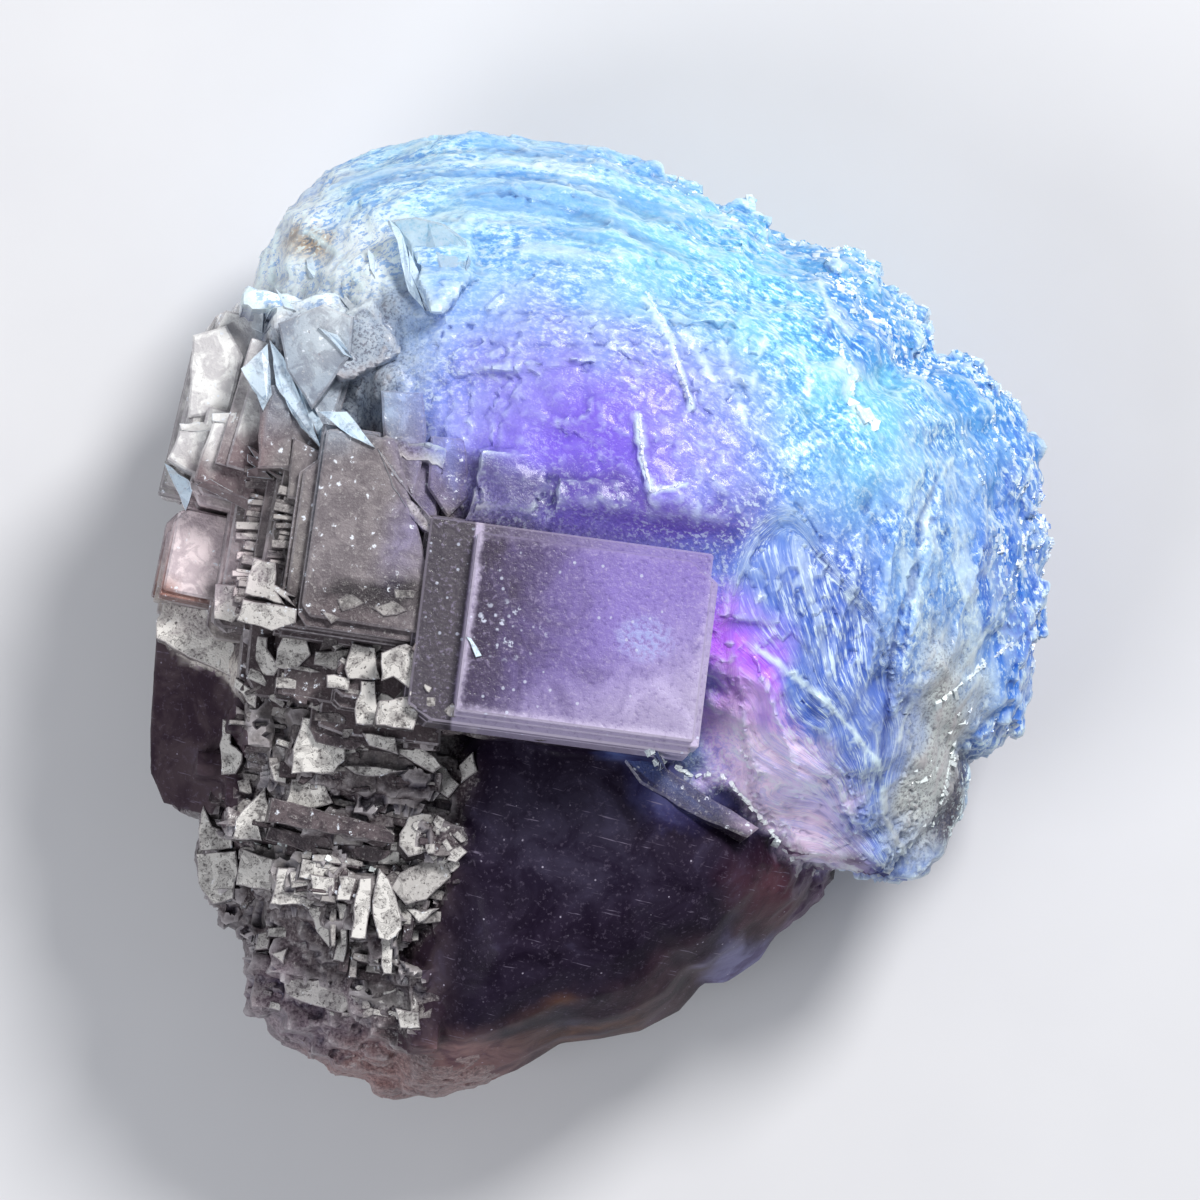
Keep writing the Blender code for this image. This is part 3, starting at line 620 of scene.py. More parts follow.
def squareMaterial(name, settings, looks):
    # the clear square crystal: violet inside, shaded to the left, frosted along its edges
    graph = Graph(name)
    place = graph.place()
    spot = graph.add("ShaderNodeMapping", {"vector_type": "TEXTURE"}, {
        "Vector": place,
        "Location": (*looks["at"], 0.0),
        "Rotation": (0.0, 0.0, math.radians(looks["turn"])),
        "Scale": (*looks["half"], 1000.0),
    })
    x = graph.add("ShaderNodeSeparateXYZ", None, {0: spot}, "X")
    y = graph.add("ShaderNodeSeparateXYZ", None, {0: spot}, "Y")
    wide = graph.noise(place, 0.22, 3.0, 0.6, 0.8)
    fine = graph.noise(place, 2.6, 3.0, 0.7)
    colour = graph.mix((x + 0.9 * wide - 0.35).over(-0.9, 0.55), tone(looks["shadow"]), tone(looks["heart"]))
    colour = graph.mix((x - y + 1.4 * wide - 0.6).over(0.2, 1.7), colour, tone(looks["pale"]))
    colour = graph.mix((wide + 0.3 * y).over(0.5, 0.2) * 0.35, colour, tone(looks["cloud"]))
    colour = graph.mix(x.over(-1.03, -1.07) * 0.9, colour, tone(looks["band"]))
    stray = 0.10 * wide + 0.06 * fine - 0.08
    left = (-1.0 * x + stray).over(0.93, 1.0) * (-1.0 * x).over(1.06, 1.03)
    bottom = (-1.0 * y + stray).over(0.88, 1.02)
    right = (x + 2.0 * stray).over(0.88, 1.02) * 0.6
    top = (y + 2.0 * stray).over(0.90, 1.05) * 0.25
    rim = left.most(bottom).most(right).most(top) * x.over(-1.06, -1.03)
    colour = graph.mix(rim * 0.8, colour, tone(looks["frost"]))
    colour = graph.mix(fine.over(0.54, 0.70) * 0.35, colour, tone(looks["grain"]))
    colour = graph.mix(fine.over(0.46, 0.34) * 0.5, colour, graph.shade(colour, looks["deeper"]))
    # the bevelled edges painted lighter, partly frost and partly painted highlight
    light = graph.attribute("edge") * (0.4 + 0.4 * left.most(bottom))
    colour = graph.mix(light, colour, tone(looks["edge"]))
    cluster = ((x + 0.66) * (x + 0.66) + (y + 0.02) * (y + 0.02)).over(0.16, 0.03)
    bloom = ((x - 0.5) * (x - 0.5) + (y - 0.06) * (y - 0.06)).over(0.10, 0.0)
    colour = graph.mix(bloom * fine.over(0.42, 0.58) * 0.7, colour, tone(looks["bloom"]))
    speck = graph.cells(place, 1.2).over(0.17, 0.11) * wide.over(0.50, 0.56) * 0.7
    speck = speck.most(graph.cells(place, 1.35).over(0.34, 0.24) * cluster * fine.over(0.44, 0.52))
    colour = graph.mix(speck * 0.9, colour, tone(looks["speck"]))
    bump = graph.bump(fine * 0.6, looks["bump"], looks["relief"])
    clearness = (looks["clearShare"] - 0.3 * rim).most(0.0)
    return finishStone(graph, settings, colour, 0.22 + 0.2 * fine, bump, clearness, looks["coat"])


# meshes

def addPiece(name, mesh, material, smoky=None):
    # a finished piece: it rides on the only body, and its smooth dark faces may have their own material
    paintStone(mesh)
    mesh.name = name
    mesh.materials.clear()
    mesh.materials.append(material)
    if smoky:
        mesh.materials.append(smoky)
        first = np.empty(len(mesh.polygons), dtype=np.int32)
        mesh.polygons.foreach_get("loop_start", first)
        corners = np.empty(len(mesh.loops), dtype=np.int32)
        mesh.loops.foreach_get("vertex_index", corners)
        smooth = np.empty(len(mesh.vertices), dtype=np.float32)
        mesh.attributes["smooth"].data.foreach_get("value", smooth)
        mesh.polygons.foreach_set("material_index", (smooth[corners[first]] > 0.5).astype(np.int32))
    piece = bpy.data.objects.new(name, mesh)
    bpy.context.scene.collection.objects.link(piece)
    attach(piece, body)
    print(name, len(mesh.polygons), "faces")
    return piece


def meshFrom(bm, name):
    # a mesh in metres from a bmesh in millimetres
    bmesh.ops.recalc_face_normals(bm, faces=bm.faces)
    bmesh.ops.scale(bm, vec=(mm, mm, mm), verts=bm.verts)
    mesh = bpy.data.meshes.new(name)
    bm.to_mesh(mesh)
    bm.free()
    return mesh


def pointsOf(mesh):
    places = np.empty(len(mesh.vertices) * 3)
    mesh.vertices.foreach_get("co", places)
    return places.reshape(-1, 3) / mm


def normalsOf(mesh):
    normals = np.empty(len(mesh.vertices) * 3)
    mesh.vertices.foreach_get("normal", normals)
    return normals.reshape(-1, 3)


def setPoints(mesh, points):
    mesh.vertices.foreach_set("co", (points * mm).ravel())
    mesh.update()


def setLayer(mesh, name, values):
    layer = mesh.attributes.get(name) or mesh.attributes.new(name, "FLOAT", "POINT")
    layer.data.foreach_set("value", np.asarray(values, dtype=np.float32))


growth = {"centre": (-11.0, -10.0), "reach": 32.0}    # growth lines run round this point
# the strands of the slope meet at the tip
fan = {"tip": (21.4, -19.4), "middle": (15.6, -7.0), "along": 0.30, "across": 34.0}


def aroundPoint(points, spot):
    dx = points[:, 0] - spot[0]
    dy = points[:, 1] - spot[1]
    return np.arctan2(dy, dx), np.hypot(dx, dy)


def grainOf(points):
    # along the growth lines, across them, and height; on the slope along and across its strands
    angle, reach = aroundPoint(points, growth["centre"])
    lines = np.stack([angle * growth["reach"], reach, points[:, 2]], axis=1)
    bent = points + smoothNoise(points, 71, 0.25)[:, None] * 0.8
    angle, reach = aroundPoint(bent, fan["tip"])
    strands = np.stack([reach * fan["along"], angle * fan["across"], points[:, 2] * 0.3], axis=1)
    at = np.argmin(np.hypot(points[:, 0] - fan["middle"][0], points[:, 1] - fan["middle"][1]))
    strands += lines[at] - strands[at]
    share = smoothStep(0.35, 0.65, zoneShare(bent, zones["slope"]))[:, None]
    return lines * (1.0 - share) + strands * share


def paintStone(mesh):
    # the zones as attributes of the mesh
    points = pointsOf(mesh)
    colour, wandering = zoneColourAt(points)
    layer = mesh.attributes.new("stoneColour", "FLOAT_COLOR", "POINT")
    layer.data.foreach_set("color", colour.astype(np.float32).ravel())
    layer = mesh.attributes.new("grain", "FLOAT_VECTOR", "POINT")
    layer.data.foreach_set("vector", grainOf(points).astype(np.float32).ravel())
    share = {name: zoneShare(wandering, zones[name]) for name in zones}
    blueZones = ("blueTop", "blueRight", "violet", "deepViolet", "periwinkle")
    greyZones = ("warmGrey", "fractured", "lobe", "olive", "corner")
    blue = np.max([share[name] for name in blueZones], axis=0)
    blue *= 1.0 - np.max([share[name] for name in greyZones], axis=0)
    setLayer(mesh, "blue", blue)
    dark = np.maximum(share["lobe"], share["edgeBlock"]) * (1.0 - share["blockTop"])
    setLayer(mesh, "smooth", dark + layeredNoise(points, 101, 0.9, 2) * 0.3 * (share["edgeBlock"] < 0.01))
    setLayer(mesh, "streaky", np.max([share["cap"], share["flank"] * 0.7, share["slope"] * 0.5], axis=0))
    quiet = {"violet": 1.0, "periwinkle": 0.6, "magenta": 0.8, "pink": 0.7, "dullViolet": 1.0}
    setLayer(mesh, "calm", np.max([share[name] * part for name, part in quiet.items()], axis=0))
    setLayer(mesh, "cloud", 0.5 + 0.34 * layeredNoise(points, 91, 0.30, 3))
    along = grainOf(points) * np.array([0.09, 0.9, 0.5])
    setLayer(mesh, "streak", 0.5 + 0.30 * layeredNoise(along, 95, 1.0, 3))
    patches = [smoothStep(-1.2, 1.2, reachInside(wandering, group["outline"])) * group["pale"]
               for group in plateGroups.values()]
    setLayer(mesh, "frosted", np.max(patches, axis=0))


def evenOut(mesh, values, rounds):
    # averages a value with its neighbours along the edges
    ends = np.empty(len(mesh.edges) * 2, dtype=np.int64)
    mesh.edges.foreach_get("vertices", ends)
    first, second = ends[0::2], ends[1::2]
    size = len(mesh.vertices)
    count = np.bincount(first, minlength=size) + np.bincount(second, minlength=size)
    columns = []
    for column in range(values.shape[1]):
        track = values[:, column].copy()
        for turn in range(rounds):
            total = np.bincount(first, weights=track[second], minlength=size)
            total += np.bincount(second, weights=track[first], minlength=size)
            track = (track + total / np.maximum(count, 1)) / 2.0
        columns.append(track)
    return np.stack(columns, axis=1)


massLooks = {
    "voxel": 0.30,         # millimetres
    "faces": 192000,       # what is left after thinning the plain parts
    "stepSize": 0.85,      # height of a growth step on the blue mass
    "cornerStep": 1.15,    # height of a step in the etched corner
    "stepPull": 0.30,      # how flat a step's tread is
    "cornerPull": 0.8,
    "wander": 0.8,         # how far a step's edge strays
    "lump": 0.26,          # height of the broad swellings
    "pebble": 0.10,        # height of the small ones
    "rimLump": 0.45,
    "arc": 0.12,           # height of the long growth lines
    "crest": (5.0, 1.6),   # how strongly small and large forms are marked
    "flatBelow": 0.5,      # nothing moves on the flat cut, and less than it might a little over it
    "flatFade": 1.6,
    "sharp": 38.0,         # degrees from which an edge stays sharp
    "margin": 3.0,         # how far round the square crystals the mass slopes down, how steeply
    "incline": 0.7,
    "under": 0.15,         # how deep under a crystal's face it stays
}


def modified(mesh, kind, settings):
    # the mesh with one modifier applied
    holder = bpy.data.objects.new("holder", mesh)
    bpy.context.scene.collection.objects.link(holder)
    modifier = holder.modifiers.new("change", kind)
    for name, value in settings.items():
        setattr(modifier, name, value)
    graph = bpy.context.evaluated_depsgraph_get()
    made = bpy.data.meshes.new_from_object(holder.evaluated_get(graph))
    bpy.data.objects.remove(holder)
    return made


def remeshed(settings):
    # an even skin over a merged copy of the solid
    bm = bmesh.new()
    bm.from_mesh(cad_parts[cadNode].data)
    bmesh.ops.remove_doubles(bm, verts=bm.verts, dist=0.00001 * mm)
    mesh = bpy.data.meshes.new("skin")
    bm.to_mesh(mesh)
    bm.free()
    return modified(mesh, "REMESH", {"mode": "VOXEL", "voxel_size": settings["voxel"] * mm})


def stepped(height, size, pull):
    # pulls a height towards the nearest tread
    return (np.round(height / size) * size - height) * pull


def shapeMass(mesh, settings):
    points = pointsOf(mesh)
    normals = normalsOf(mesh)
    flat = settings["flatBelow"]
    free = smoothStep(flat, flat + settings["flatFade"], points[:, 2])
    blue = np.maximum(zoneShare(points, zones["blueTop"]), zoneShare(points, zones["blueRight"]))
    wandering = wanderingOf(points)
    smooth = np.maximum(zoneShare(wandering, zones["lobe"]), zoneShare(wandering, zones["edgeBlock"]))
    corner = zoneShare(wandering, zones["corner"]) * (1.0 - smooth)
    rough = 1.0 - smooth
    low = 0.35 + 0.65 * smoothStep(-29.0, -24.0, points[:, 1])
    cap = np.maximum(zoneShare(points, zones["cap"]), zoneShare(points, zones["capEdge"]))
    lump = layeredNoise(points, 3, 0.35, 3) * settings["lump"] * (0.25 + 0.75 * rough) * (1.0 - 0.45 * cap)
    lump += layeredNoise(points, 9, 1.3, 2) * settings["pebble"] * rough
    rim = smoothStep(0.85, 0.35, np.abs(normals[:, 2])) * smoothStep(26.0, 20.0, points[:, 2]) * blue
    rim *= 0.15 + 0.85 * smoothStep(-8.0, 8.0, points[:, 0])
    lump += rim * np.abs(smoothNoise(points, 21, 0.9)) * settings["rimLump"]
    grain = grainOf(points)
    lines = layeredNoise(grain * np.array([0.10, 0.75, 0.3]), 51, 1.0, 3)
    slope = zoneShare(points, zones["slope"])
    lump += lines * settings["arc"] * blue * (2.0 - 0.9 * slope) + strokeShares(points)[0]
    points = points + normals * (lump * free)[:, None]
    axes = np.array(latticeAxes())
    stray = layeredNoise(points, 31, 0.45, 3)
    grown = np.clip(1.0 - corner - smooth, 0.0, 1.0)
    grown *= 0.35 + 0.65 * (layeredNoise(points, 61, 0.12, 2) > 0.0)
    for column in range(3):
        axis = axes[:, column]
        facing = np.abs(normals @ axis) ** 2
        height = points @ axis + stray * settings["wander"]
        fine = stepped(height, settings["stepSize"], settings["stepPull"]) * grown
        coarse = stepped(height, settings["cornerStep"], settings["cornerPull"]) * corner * low
        points = points + axis[None, :] * ((fine + coarse) * facing * free)[:, None]
    setPoints(mesh, settled(points))


def besideCrystal(points, crystal):
    # how far each point lies beside a crystal's face and over it, and the way that the face looks
    x, y, z, width, length, depth, turn = crystal
    axes = np.array(latticeAxes(turn))
    local = (points - np.array((x, y, z))) @ axes
    away = np.maximum(np.abs(local[:, 0]) - width / 2.0, np.abs(local[:, 1]) - length / 2.0)
    return away, local[:, 2], axes[:, 2]


def settled(points):
    # the mass stays under the flat crystals, and slopes down to the square ones
    for number, crystal in enumerate(squareSizes + stairSizes):
        away, over, out = besideCrystal(points, crystal)
        margin = massLooks["margin"] if number < len(squareSizes) else 0.0
        allowed = np.maximum(away, 0.0) * massLooks["incline"] - massLooks["under"]
        drop = np.where(away < margin, np.maximum(over - allowed, 0.0), 0.0)
        drop *= smoothStep(margin + 0.01, margin * 0.4, away)
        points = points - out[None, :] * drop[:, None]
    return points


def rimShare(points, normals, settings):
    # the sparkling band along the rim, widest at the upper right
    angle, reach = aroundPoint(points, settings["centre"])
    angle = np.degrees(angle)
    band = smoothStep(*settings["facing"], normals[:, 2]) * (reach > settings["reach"])
    band *= smoothStep(*settings["low"], points[:, 2])
    band *= smoothStep(*settings["high"], points[:, 2])
    band *= smoothStep(*settings["first"], angle) * smoothStep(*settings["last"], angle)
    band *= 0.30 + smoothStep(-20.0, 15.0, angle) * smoothStep(80.0, 45.0, angle)
    return np.clip(band, 0.0, 1.0)


def markMass(mesh):
    # crests and hollows from how far each point stands off its neighbours: crests are painted lighter, partly
    # frost and partly painted highlight, and hollows get painted shade
    points = pointsOf(mesh)
    normals = normalsOf(mesh)
    near = evenOut(mesh, points, 2)
    wide = evenOut(mesh, near, 10)
    small = np.sum((points - near) * normals, axis=1)
    large = np.sum((points - wide) * normals, axis=1)
    standing = small * massLooks["crest"][0] + large * massLooks["crest"][1]
    patchy = 0.6 + 0.4 * (layeredNoise(points, 77, 0.4, 2) > -0.1)
    setLayer(mesh, "drusy", rimShare(wide, normals, rimLooks) * patchy)
    light, dark = strokeShares(points)[1:]
    free = smoothStep(0.0, 1.2, besideCrystal(points, squareSizes[1])[0])
    up = normals[:, 2]
    # painted highlight along the sideways-facing slopes of the blue stone near its rim
    outer = smoothStep(0.56, 0.38, up) * smoothStep(0.0, 0.15, up) * smoothStep(-14.0, 0.0, points[:, 0])
    outer *= smoothStep(-0.4, 0.2, layeredNoise(points, 78, 0.6, 2)) * (points[:, 2] > 6.0)
    outer *= np.maximum(zoneShare(points, zones["blueTop"]), zoneShare(points, zones["blueRight"]))
    setLayer(mesh, "edge", np.clip(standing * 0.8 - 0.12 + light * 1.4 + outer * 0.6, 0.0, 1.0) * free)
    # painted shade in the hollows and dark grooves, weaker in the magenta
    inShade = np.clip(-standing - 0.12 + dark, 0.0, 1.0)
    setLayer(mesh, "paintedShade", inShade * (1.0 - 0.7 * zoneShare(points, zones["magenta"])))


def buildMass():
    mesh = remeshed(massLooks)
    shapeMass(mesh, massLooks)
    bm = bmesh.new()
    bm.from_mesh(mesh)
    bmesh.ops.triangulate(bm, faces=bm.faces)
    bm.to_mesh(mesh)
    bm.free()
    markMass(mesh)
    mesh = modified(mesh, "DECIMATE", {"ratio": massLooks["faces"] / len(mesh.polygons)})
    mesh.shade_smooth()
    mesh.set_sharp_from_angle(angle=math.radians(massLooks["sharp"]))
    return mesh


# flat-faced crystals: x, y and height of the face's centre, width, length, depth, extra turn
squareSizes = [
    (-1.1, -1.2, 40.6, 16.5, 12.4, 9.0, 1.0),
    (-2.9, -1.1, 39.0, 19.8, 14.0, 9.0, 1.0),
]
stairSizes = [
    (-15.9, 6.2, 38.6, 8.4, 13.0, 12.0, 0.0),
    (-16.8, 5.2, 37.4, 9.4, 12.6, 12.0, 0.0),
    (-19.9, 7.4, 35.6, 4.6, 7.6, 12.0, -2.0),
    (-21.2, 6.2, 33.8, 4.4, 8.2, 12.0, -2.0),
    (-22.6, 5.2, 32.0, 5.2, 9.6, 12.0, 1.0),
    (-24.4, 5.8, 30.0, 3.6, 9.2, 12.0, -1.0),
    (-25.6, 1.6, 28.4, 3.2, 4.4, 10.0, 0.0),
    (-21.2, 14.0, 34.6, 4.0, 7.0, 12.0, -8.0),
    (-23.7, 14.6, 32.2, 3.2, 8.6, 10.0, -8.0),
    (-26.4, 11.6, 29.0, 4.4, 6.0, 10.0, -5.0),
    (-26.8, 16.2, 27.2, 3.6, 11.2, 9.0, -5.0),
    (-27.9, 14.4, 24.6, 3.8, 10.4, 9.0, -5.0),
    (-27.4, 4.4, 27.2, 6.4, 5.8, 10.0, -3.0),
    (-28.7, 3.4, 25.2, 4.0, 4.8, 9.0, -3.0),
    (-14.0, -4.4, 36.2, 9.0, 3.0, 9.0, 0.0),
    (-15.6, -6.8, 33.6, 8.4, 3.0, 9.0, 2.0),
    (-19.4, -3.6, 33.8, 5.6, 4.2, 9.0, -2.0),
    (-22.6, -3.0, 30.8, 4.8, 5.0, 9.0, 3.0),
]
crystalLooks = {
    "stand": 0.3,                # the faces stand this far out of the solid
    "bevel": 0.16,
    "slab": 0.9,                 # mean thickness of a slab
    "notch": 0.22,
    "deepest": 3.6,              # slabs go down this far under the face
    "cell": 0.7,                 # how finely the face is divided
    "broken": 2,                 # how many corners are broken off, and how far out
    "reach": (0.54, 0.68),
    "splitFace": (-15.9, 6.2),   # this face is split along one more line
    "split": (math.radians(31.9), 0.318),
}
squareSlabs = {"slab": 2.2, "broken": 1, "reach": (0.63, 0.66)}


def startBlocks():
    bm = bmesh.new()
    for name in ("edge", "paintedShade", "bloom"):
        bm.faces.layers.float.new(name)
    return bm


def appendBlock(bm, block):
    # the small block joins the piece by way of a scrap mesh, which stays quick however large the piece is
    scrap = bpy.data.meshes.new("scrap")
    block.to_mesh(scrap)
    block.free()
    bm.from_mesh(scrap)
    bpy.data.meshes.remove(scrap)


def addBlock(bm, spot, size, axes, bevel=0.0, side=None, top=None, cuts=(), cell=0.0, rim=1.0):
    # a block whose outer face is centred on the spot; side and top say how its faces are marked
    # cuts are corners broken off: direction in the block's own plane and how far out
    # cell is how finely the face is divided, so that it can carry painted zones
    block = startBlocks()
    home = Matrix.Translation(spot) @ axes.to_4x4() @ Matrix.Translation((0.0, 0.0, -size[2] / 2.0))
    bmesh.ops.create_cube(block, size=1.0)
    for axis in (0, 1) if cell > 0.0 else ():
        along = [edge for edge in block.edges if abs(edge.verts[0].co[axis] - edge.verts[1].co[axis]) > 0.5]
        bmesh.ops.subdivide_edges(block, edges=along, cuts=max(1, int(size[axis] / cell)), use_grid_fill=True)
    for angle, reach in cuts:
        away = Vector((math.cos(angle), math.sin(angle), 0.0))
        parts = block.verts[:] + block.edges[:] + block.faces[:]
        cut = bmesh.ops.bisect_plane(
            block, geom=parts, plane_co=away * reach, plane_no=away, clear_outer=True
        )
        rims = [item for item in cut["geom_cut"] if isinstance(item, bmesh.types.BMEdge)]
        bmesh.ops.holes_fill(block, edges=rims)
    bmesh.ops.transform(block, matrix=home @ Matrix.Diagonal((*size, 1.0)), verts=block.verts)
    if bevel > 0.0:
        corners = [edge for edge in block.edges if edge.calc_face_angle(0.0) > 0.3]
        cut = bmesh.ops.bevel(
            block, geom=corners, offset=bevel, offset_type="OFFSET", segments=1, profile=0.5, affect="EDGES",
            material=-1
        )
        layer = block.faces.layers.float.get("edge")
        for face in cut["faces"]:
            face[layer] = rim
    block.normal_update()
    out = axes.col[2]
    for face in block.faces:
        for name, value in ((top if face.normal.dot(out) > 0.8 else side) or {}).items():
            face[block.faces.layers.float.get(name)] = value
    appendBlock(bm, block)


def buildCrystals(sizes, settings, seed):
    # each crystal is a stack of thin slabs, so that its sides carry tight steps
    rng = random.Random(seed)
    bm = startBlocks()
    for x, y, z, width, length, depth, turn in sizes:
        axes = latticeAxes(turn)
        out = axes.col[2]
        face = Vector((x, y, z)) + out * settings["stand"]
        sink = 0.0
        grow = (settings["stand"], settings["stand"])
        shift = axes.col[0] * 0.0
        cuts = []
        for n in range(settings["broken"]):
            corner = rng.choice((45, 135, 225, 315)) + rng.uniform(-18, 18)
            cuts.append((math.radians(corner), rng.uniform(*settings["reach"])))
        if (x, y) == settings["splitFace"]:
            cuts.append(settings["split"])
        while sink < min(depth, settings["deepest"]):
            thick = settings["slab"] * rng.uniform(0.45, 1.5)
            size = (width + grow[0], length + grow[1], thick + 0.5)
            # the slabs' sides get painted shade, more of it on the lower slabs
            marks = {"paintedShade": min(1.0, 0.35 * rng.random() + 0.12 * sink)}
            bevel = settings["bevel"] if sink == 0.0 else 0.08
            cell = settings["cell"] if sink == 0.0 else 0.0
            rim = rng.uniform(0.2, 0.8)
            spot = face - out * sink + shift
            addBlock(bm, spot, size, axes, bevel, marks, {"paintedShade": 0.0}, cuts, cell, rim)
            sink += thick
            grow = [settings["stand"] + rng.uniform(0.0, 3.0) * settings["notch"] for side in (0, 1)]
            shift = axes.col[0] * grow[0] * rng.uniform(-0.5, 0.5)
            shift += axes.col[1] * grow[1] * rng.uniform(-0.5, 0.5)
    return meshFrom(bm, "crystals")


# broken plates: outline in millimetres, how many, width and length, share that is pale, turn in degrees, rise
plateGroups = {
    "corner": {
        "outline": [(-25.6, -1.0), (-13.0, -6.4), (-9.6, -8.4), (-10.4, -12.0), (-12.6, -26.0),
                    (-20.0, -26.0), (-28.6, -18.0)],
        "count": 130, "wide": (1.2, 4.2), "long": (0.3, 1.0), "pale": 0.08, "turn": 5.0, "rise": (-0.3, 0.1),
    },
    "underFace": {
        "outline": [(-24.0, -1.2), (-12.6, -1.4), (-9.4, -7.6), (-16.0, -7.4), (-25.6, -5.0)],
        "count": 70, "wide": (0.4, 1.5), "long": (0.3, 1.0), "pale": 0.6, "turn": 40.0, "rise": (-0.2, 0.2),
    },
    "frostedBlocks": {
        "outline": [(-26.0, -6.0), (-17.4, -7.2), (-16.6, -12.6), (-24.6, -14.6), (-27.4, -11.0)],
        "count": 34, "wide": (0.5, 2.0), "long": (0.4, 1.4), "pale": 0.45, "turn": 24.0, "rise": (-0.2, 0.2),
    },
    "arcShelf": {
        "outline": [(-18.4, -8.0), (-9.6, -8.4), (-9.4, -12.4), (-17.0, -11.6)],
        "count": 14, "wide": (0.6, 2.4), "long": (0.3, 0.7), "pale": 0.3, "turn": 20.0, "rise": (-0.2, 0.1),
    },
    "knob": {
        "outline": [(-15.4, -14.2), (-10.0, -14.0), (-9.8, -18.6), (-14.8, -19.6)],
        "count": 60, "wide": (0.3, 1.0), "long": (0.3, 0.9), "pale": 0.6, "turn": 60.0, "rise": (-0.1, 0.3),
    },
    "shelfRow": {
        "outline": [(-29.4, -15.6), (-24.0, -15.4), (-16.6, -17.6), (-15.8, -19.6), (-28.4, -20.4)],
        "count": 30, "wide": (0.5, 1.8), "long": (0.4, 1.4), "pale": 0.6, "turn": 14.0, "rise": (-0.2, 0.2),
    },
    "blades": {
        "outline": [(-20.4, -18.6), (-12.4, -18.0), (-12.8, -25.0), (-18.6, -24.0)],
        "count": 26, "wide": (0.3, 0.9), "long": (1.2, 3.6), "pale": 0.6, "turn": 8.0, "rise": (-0.2, 0.2),
    },
    "lowRow": {
        "outline": [(-25.0, -25.6), (-13.2, -26.4), (-13.4, -28.6), (-24.0, -28.4)],
        "count": 30, "wide": (0.4, 1.4), "long": (0.3, 0.9), "pale": 0.6, "turn": 20.0, "rise": (-0.2, 0.2),
    },
}
plateLooks = {
    "depth": 1.8,
    "bevel": 0.05,
    # painted shade on the plates' sides
    "side": {"paintedShade": 0.8},
    "ends": 0.45,            # no plate where the ground under its ends drops away
    "drop": 1.6,
}


def insideOutline(x, y, outline):
    inside = False
    for (ax, ay), (bx, by) in zip(outline, outline[1:] + outline[:1]):
        if (ay > y) != (by > y) and x < ax + (y - ay) * (bx - ax) / (by - ay):
            inside = not inside
    return inside


def groundUnder(tree, x, y):
    hit = tree.ray_cast(Vector((x * mm, y * mm, 0.1)), Vector((0.0, 0.0, -1.0)))
    return hit[0] / mm if hit[0] is not None else None


def slantUnder(tree, middle):
    # the ground's mean slant round a place
    total = Vector((0.0, 0.0, 0.0))
    for x, y in itertools.product((-1.0, 0.0, 1.0), repeat=2):
        start = Vector(((middle.x + x) * mm, (middle.y + y) * mm, 0.1))
        hit = tree.ray_cast(start, Vector((0.0, 0.0, -1.0)))
        total += hit[1] if hit[0] is not None else Vector((0.0, 0.0, 1.0))
    total.z = max(total.z, 0.5)
    return total.normalized()


# ladders of tight steps beside the tall face: x and width, highest and lowest y
ladderLooks = {"step": 0.55, "slope": 0.12, "turn": 9.0}
ladders = [
    {"x": -24.1, "width": 2.3, "from": 10.4, "to": 1.0},
    {"x": -21.9, "width": 1.8, "from": 9.0, "to": 3.2},
    {"x": -25.0, "width": 1.6, "from": 3.4, "to": -0.6},
]


def addPlate(bm, spot, size, axes, pale, cuts):
    addBlock(bm, spot, size, axes, plateLooks["bevel"], plateLooks["side"], {"bloom": pale}, cuts, 0.0, pale)


def buildLadders(bm, tree, rng):
    for ladder in ladders:
        y = ladder["from"]
        while y > ladder["to"]:
            x = ladder["x"] + (y - ladder["from"]) * ladderLooks["slope"] + rng.uniform(-0.2, 0.2)
            ground = groundUnder(tree, x, y)
            wide = ladder["width"] * rng.uniform(0.4, 1.15)
            size = (wide, ladderLooks["step"] * rng.uniform(0.5, 1.3), plateLooks["depth"])
            spot = Vector((x, y, ground.z + rng.uniform(0.1, 0.5)))
            pale = rng.uniform(0.0, 0.35)
            axes = latticeAxes(rng.uniform(-ladderLooks["turn"], ladderLooks["turn"]))
            addPlate(bm, spot, size, axes, pale, ())
            y -= ladderLooks["step"] * rng.uniform(0.5, 1.7)


def buildPlates(tree):
    # plates and blades of the etched corner; their tops are pale and their sides darkened as painted shade
    rng = random.Random(seeds["plates"])
    bm = startBlocks()
    for group in plateGroups.values():
        outline = group["outline"]
        xs = [x for x, y in outline]
        ys = [y for x, y in outline]
        made = 0
        while made < group["count"]:
            x = rng.uniform(min(xs), max(xs))
            y = rng.uniform(min(ys), max(ys))
            if not insideOutline(x, y, outline):
                continue
            made += 1
            size = (rng.uniform(*group["wide"]), rng.uniform(*group["long"]), plateLooks["depth"])
            ground = groundUnder(tree, x, y)
            ends = [groundUnder(tree, x + side * size[0] * plateLooks["ends"], y) for side in (-1, 1)]
            if ground is None or any(end is None or end.z < ground.z - plateLooks["drop"] for end in ends):
                continue
            axes = latticeAxes(rng.uniform(-1.0, 1.0) * group["turn"])
            spot = Vector((x, y, ground.z + rng.uniform(*group["rise"])))
            if rng.random() < group["pale"]:
                pale = rng.uniform(0.5, 1.0)
            else:
                pale = rng.choice((0.0, 0.0, 0.15, 0.35))
            broken = rng.choice((1, 2, 2, 3))
            cuts = [(rng.uniform(0.0, 6.28), rng.uniform(0.30, 0.56)) for n in range(broken)]
            addPlate(bm, spot, size, axes, pale, cuts)
    buildLadders(bm, tree, rng)
    return meshFrom(bm, "plates")


rimLooks = {
    "count": 2900,
    "size": (0.2, 0.6),
    "centre": (3.0, 6.0),
    "reach": 18.0,            # not nearer to the centre than this
    "facing": (0.76, 0.46),   # how far a face has turned from the top
    "low": (8.0, 11.0),       # heights between which the band begins and ends
    "high": (29.0, 24.0),
    "first": (-58.0, -30.0),  # directions in degrees between which it begins and ends
    "last": (112.0, 80.0),
}


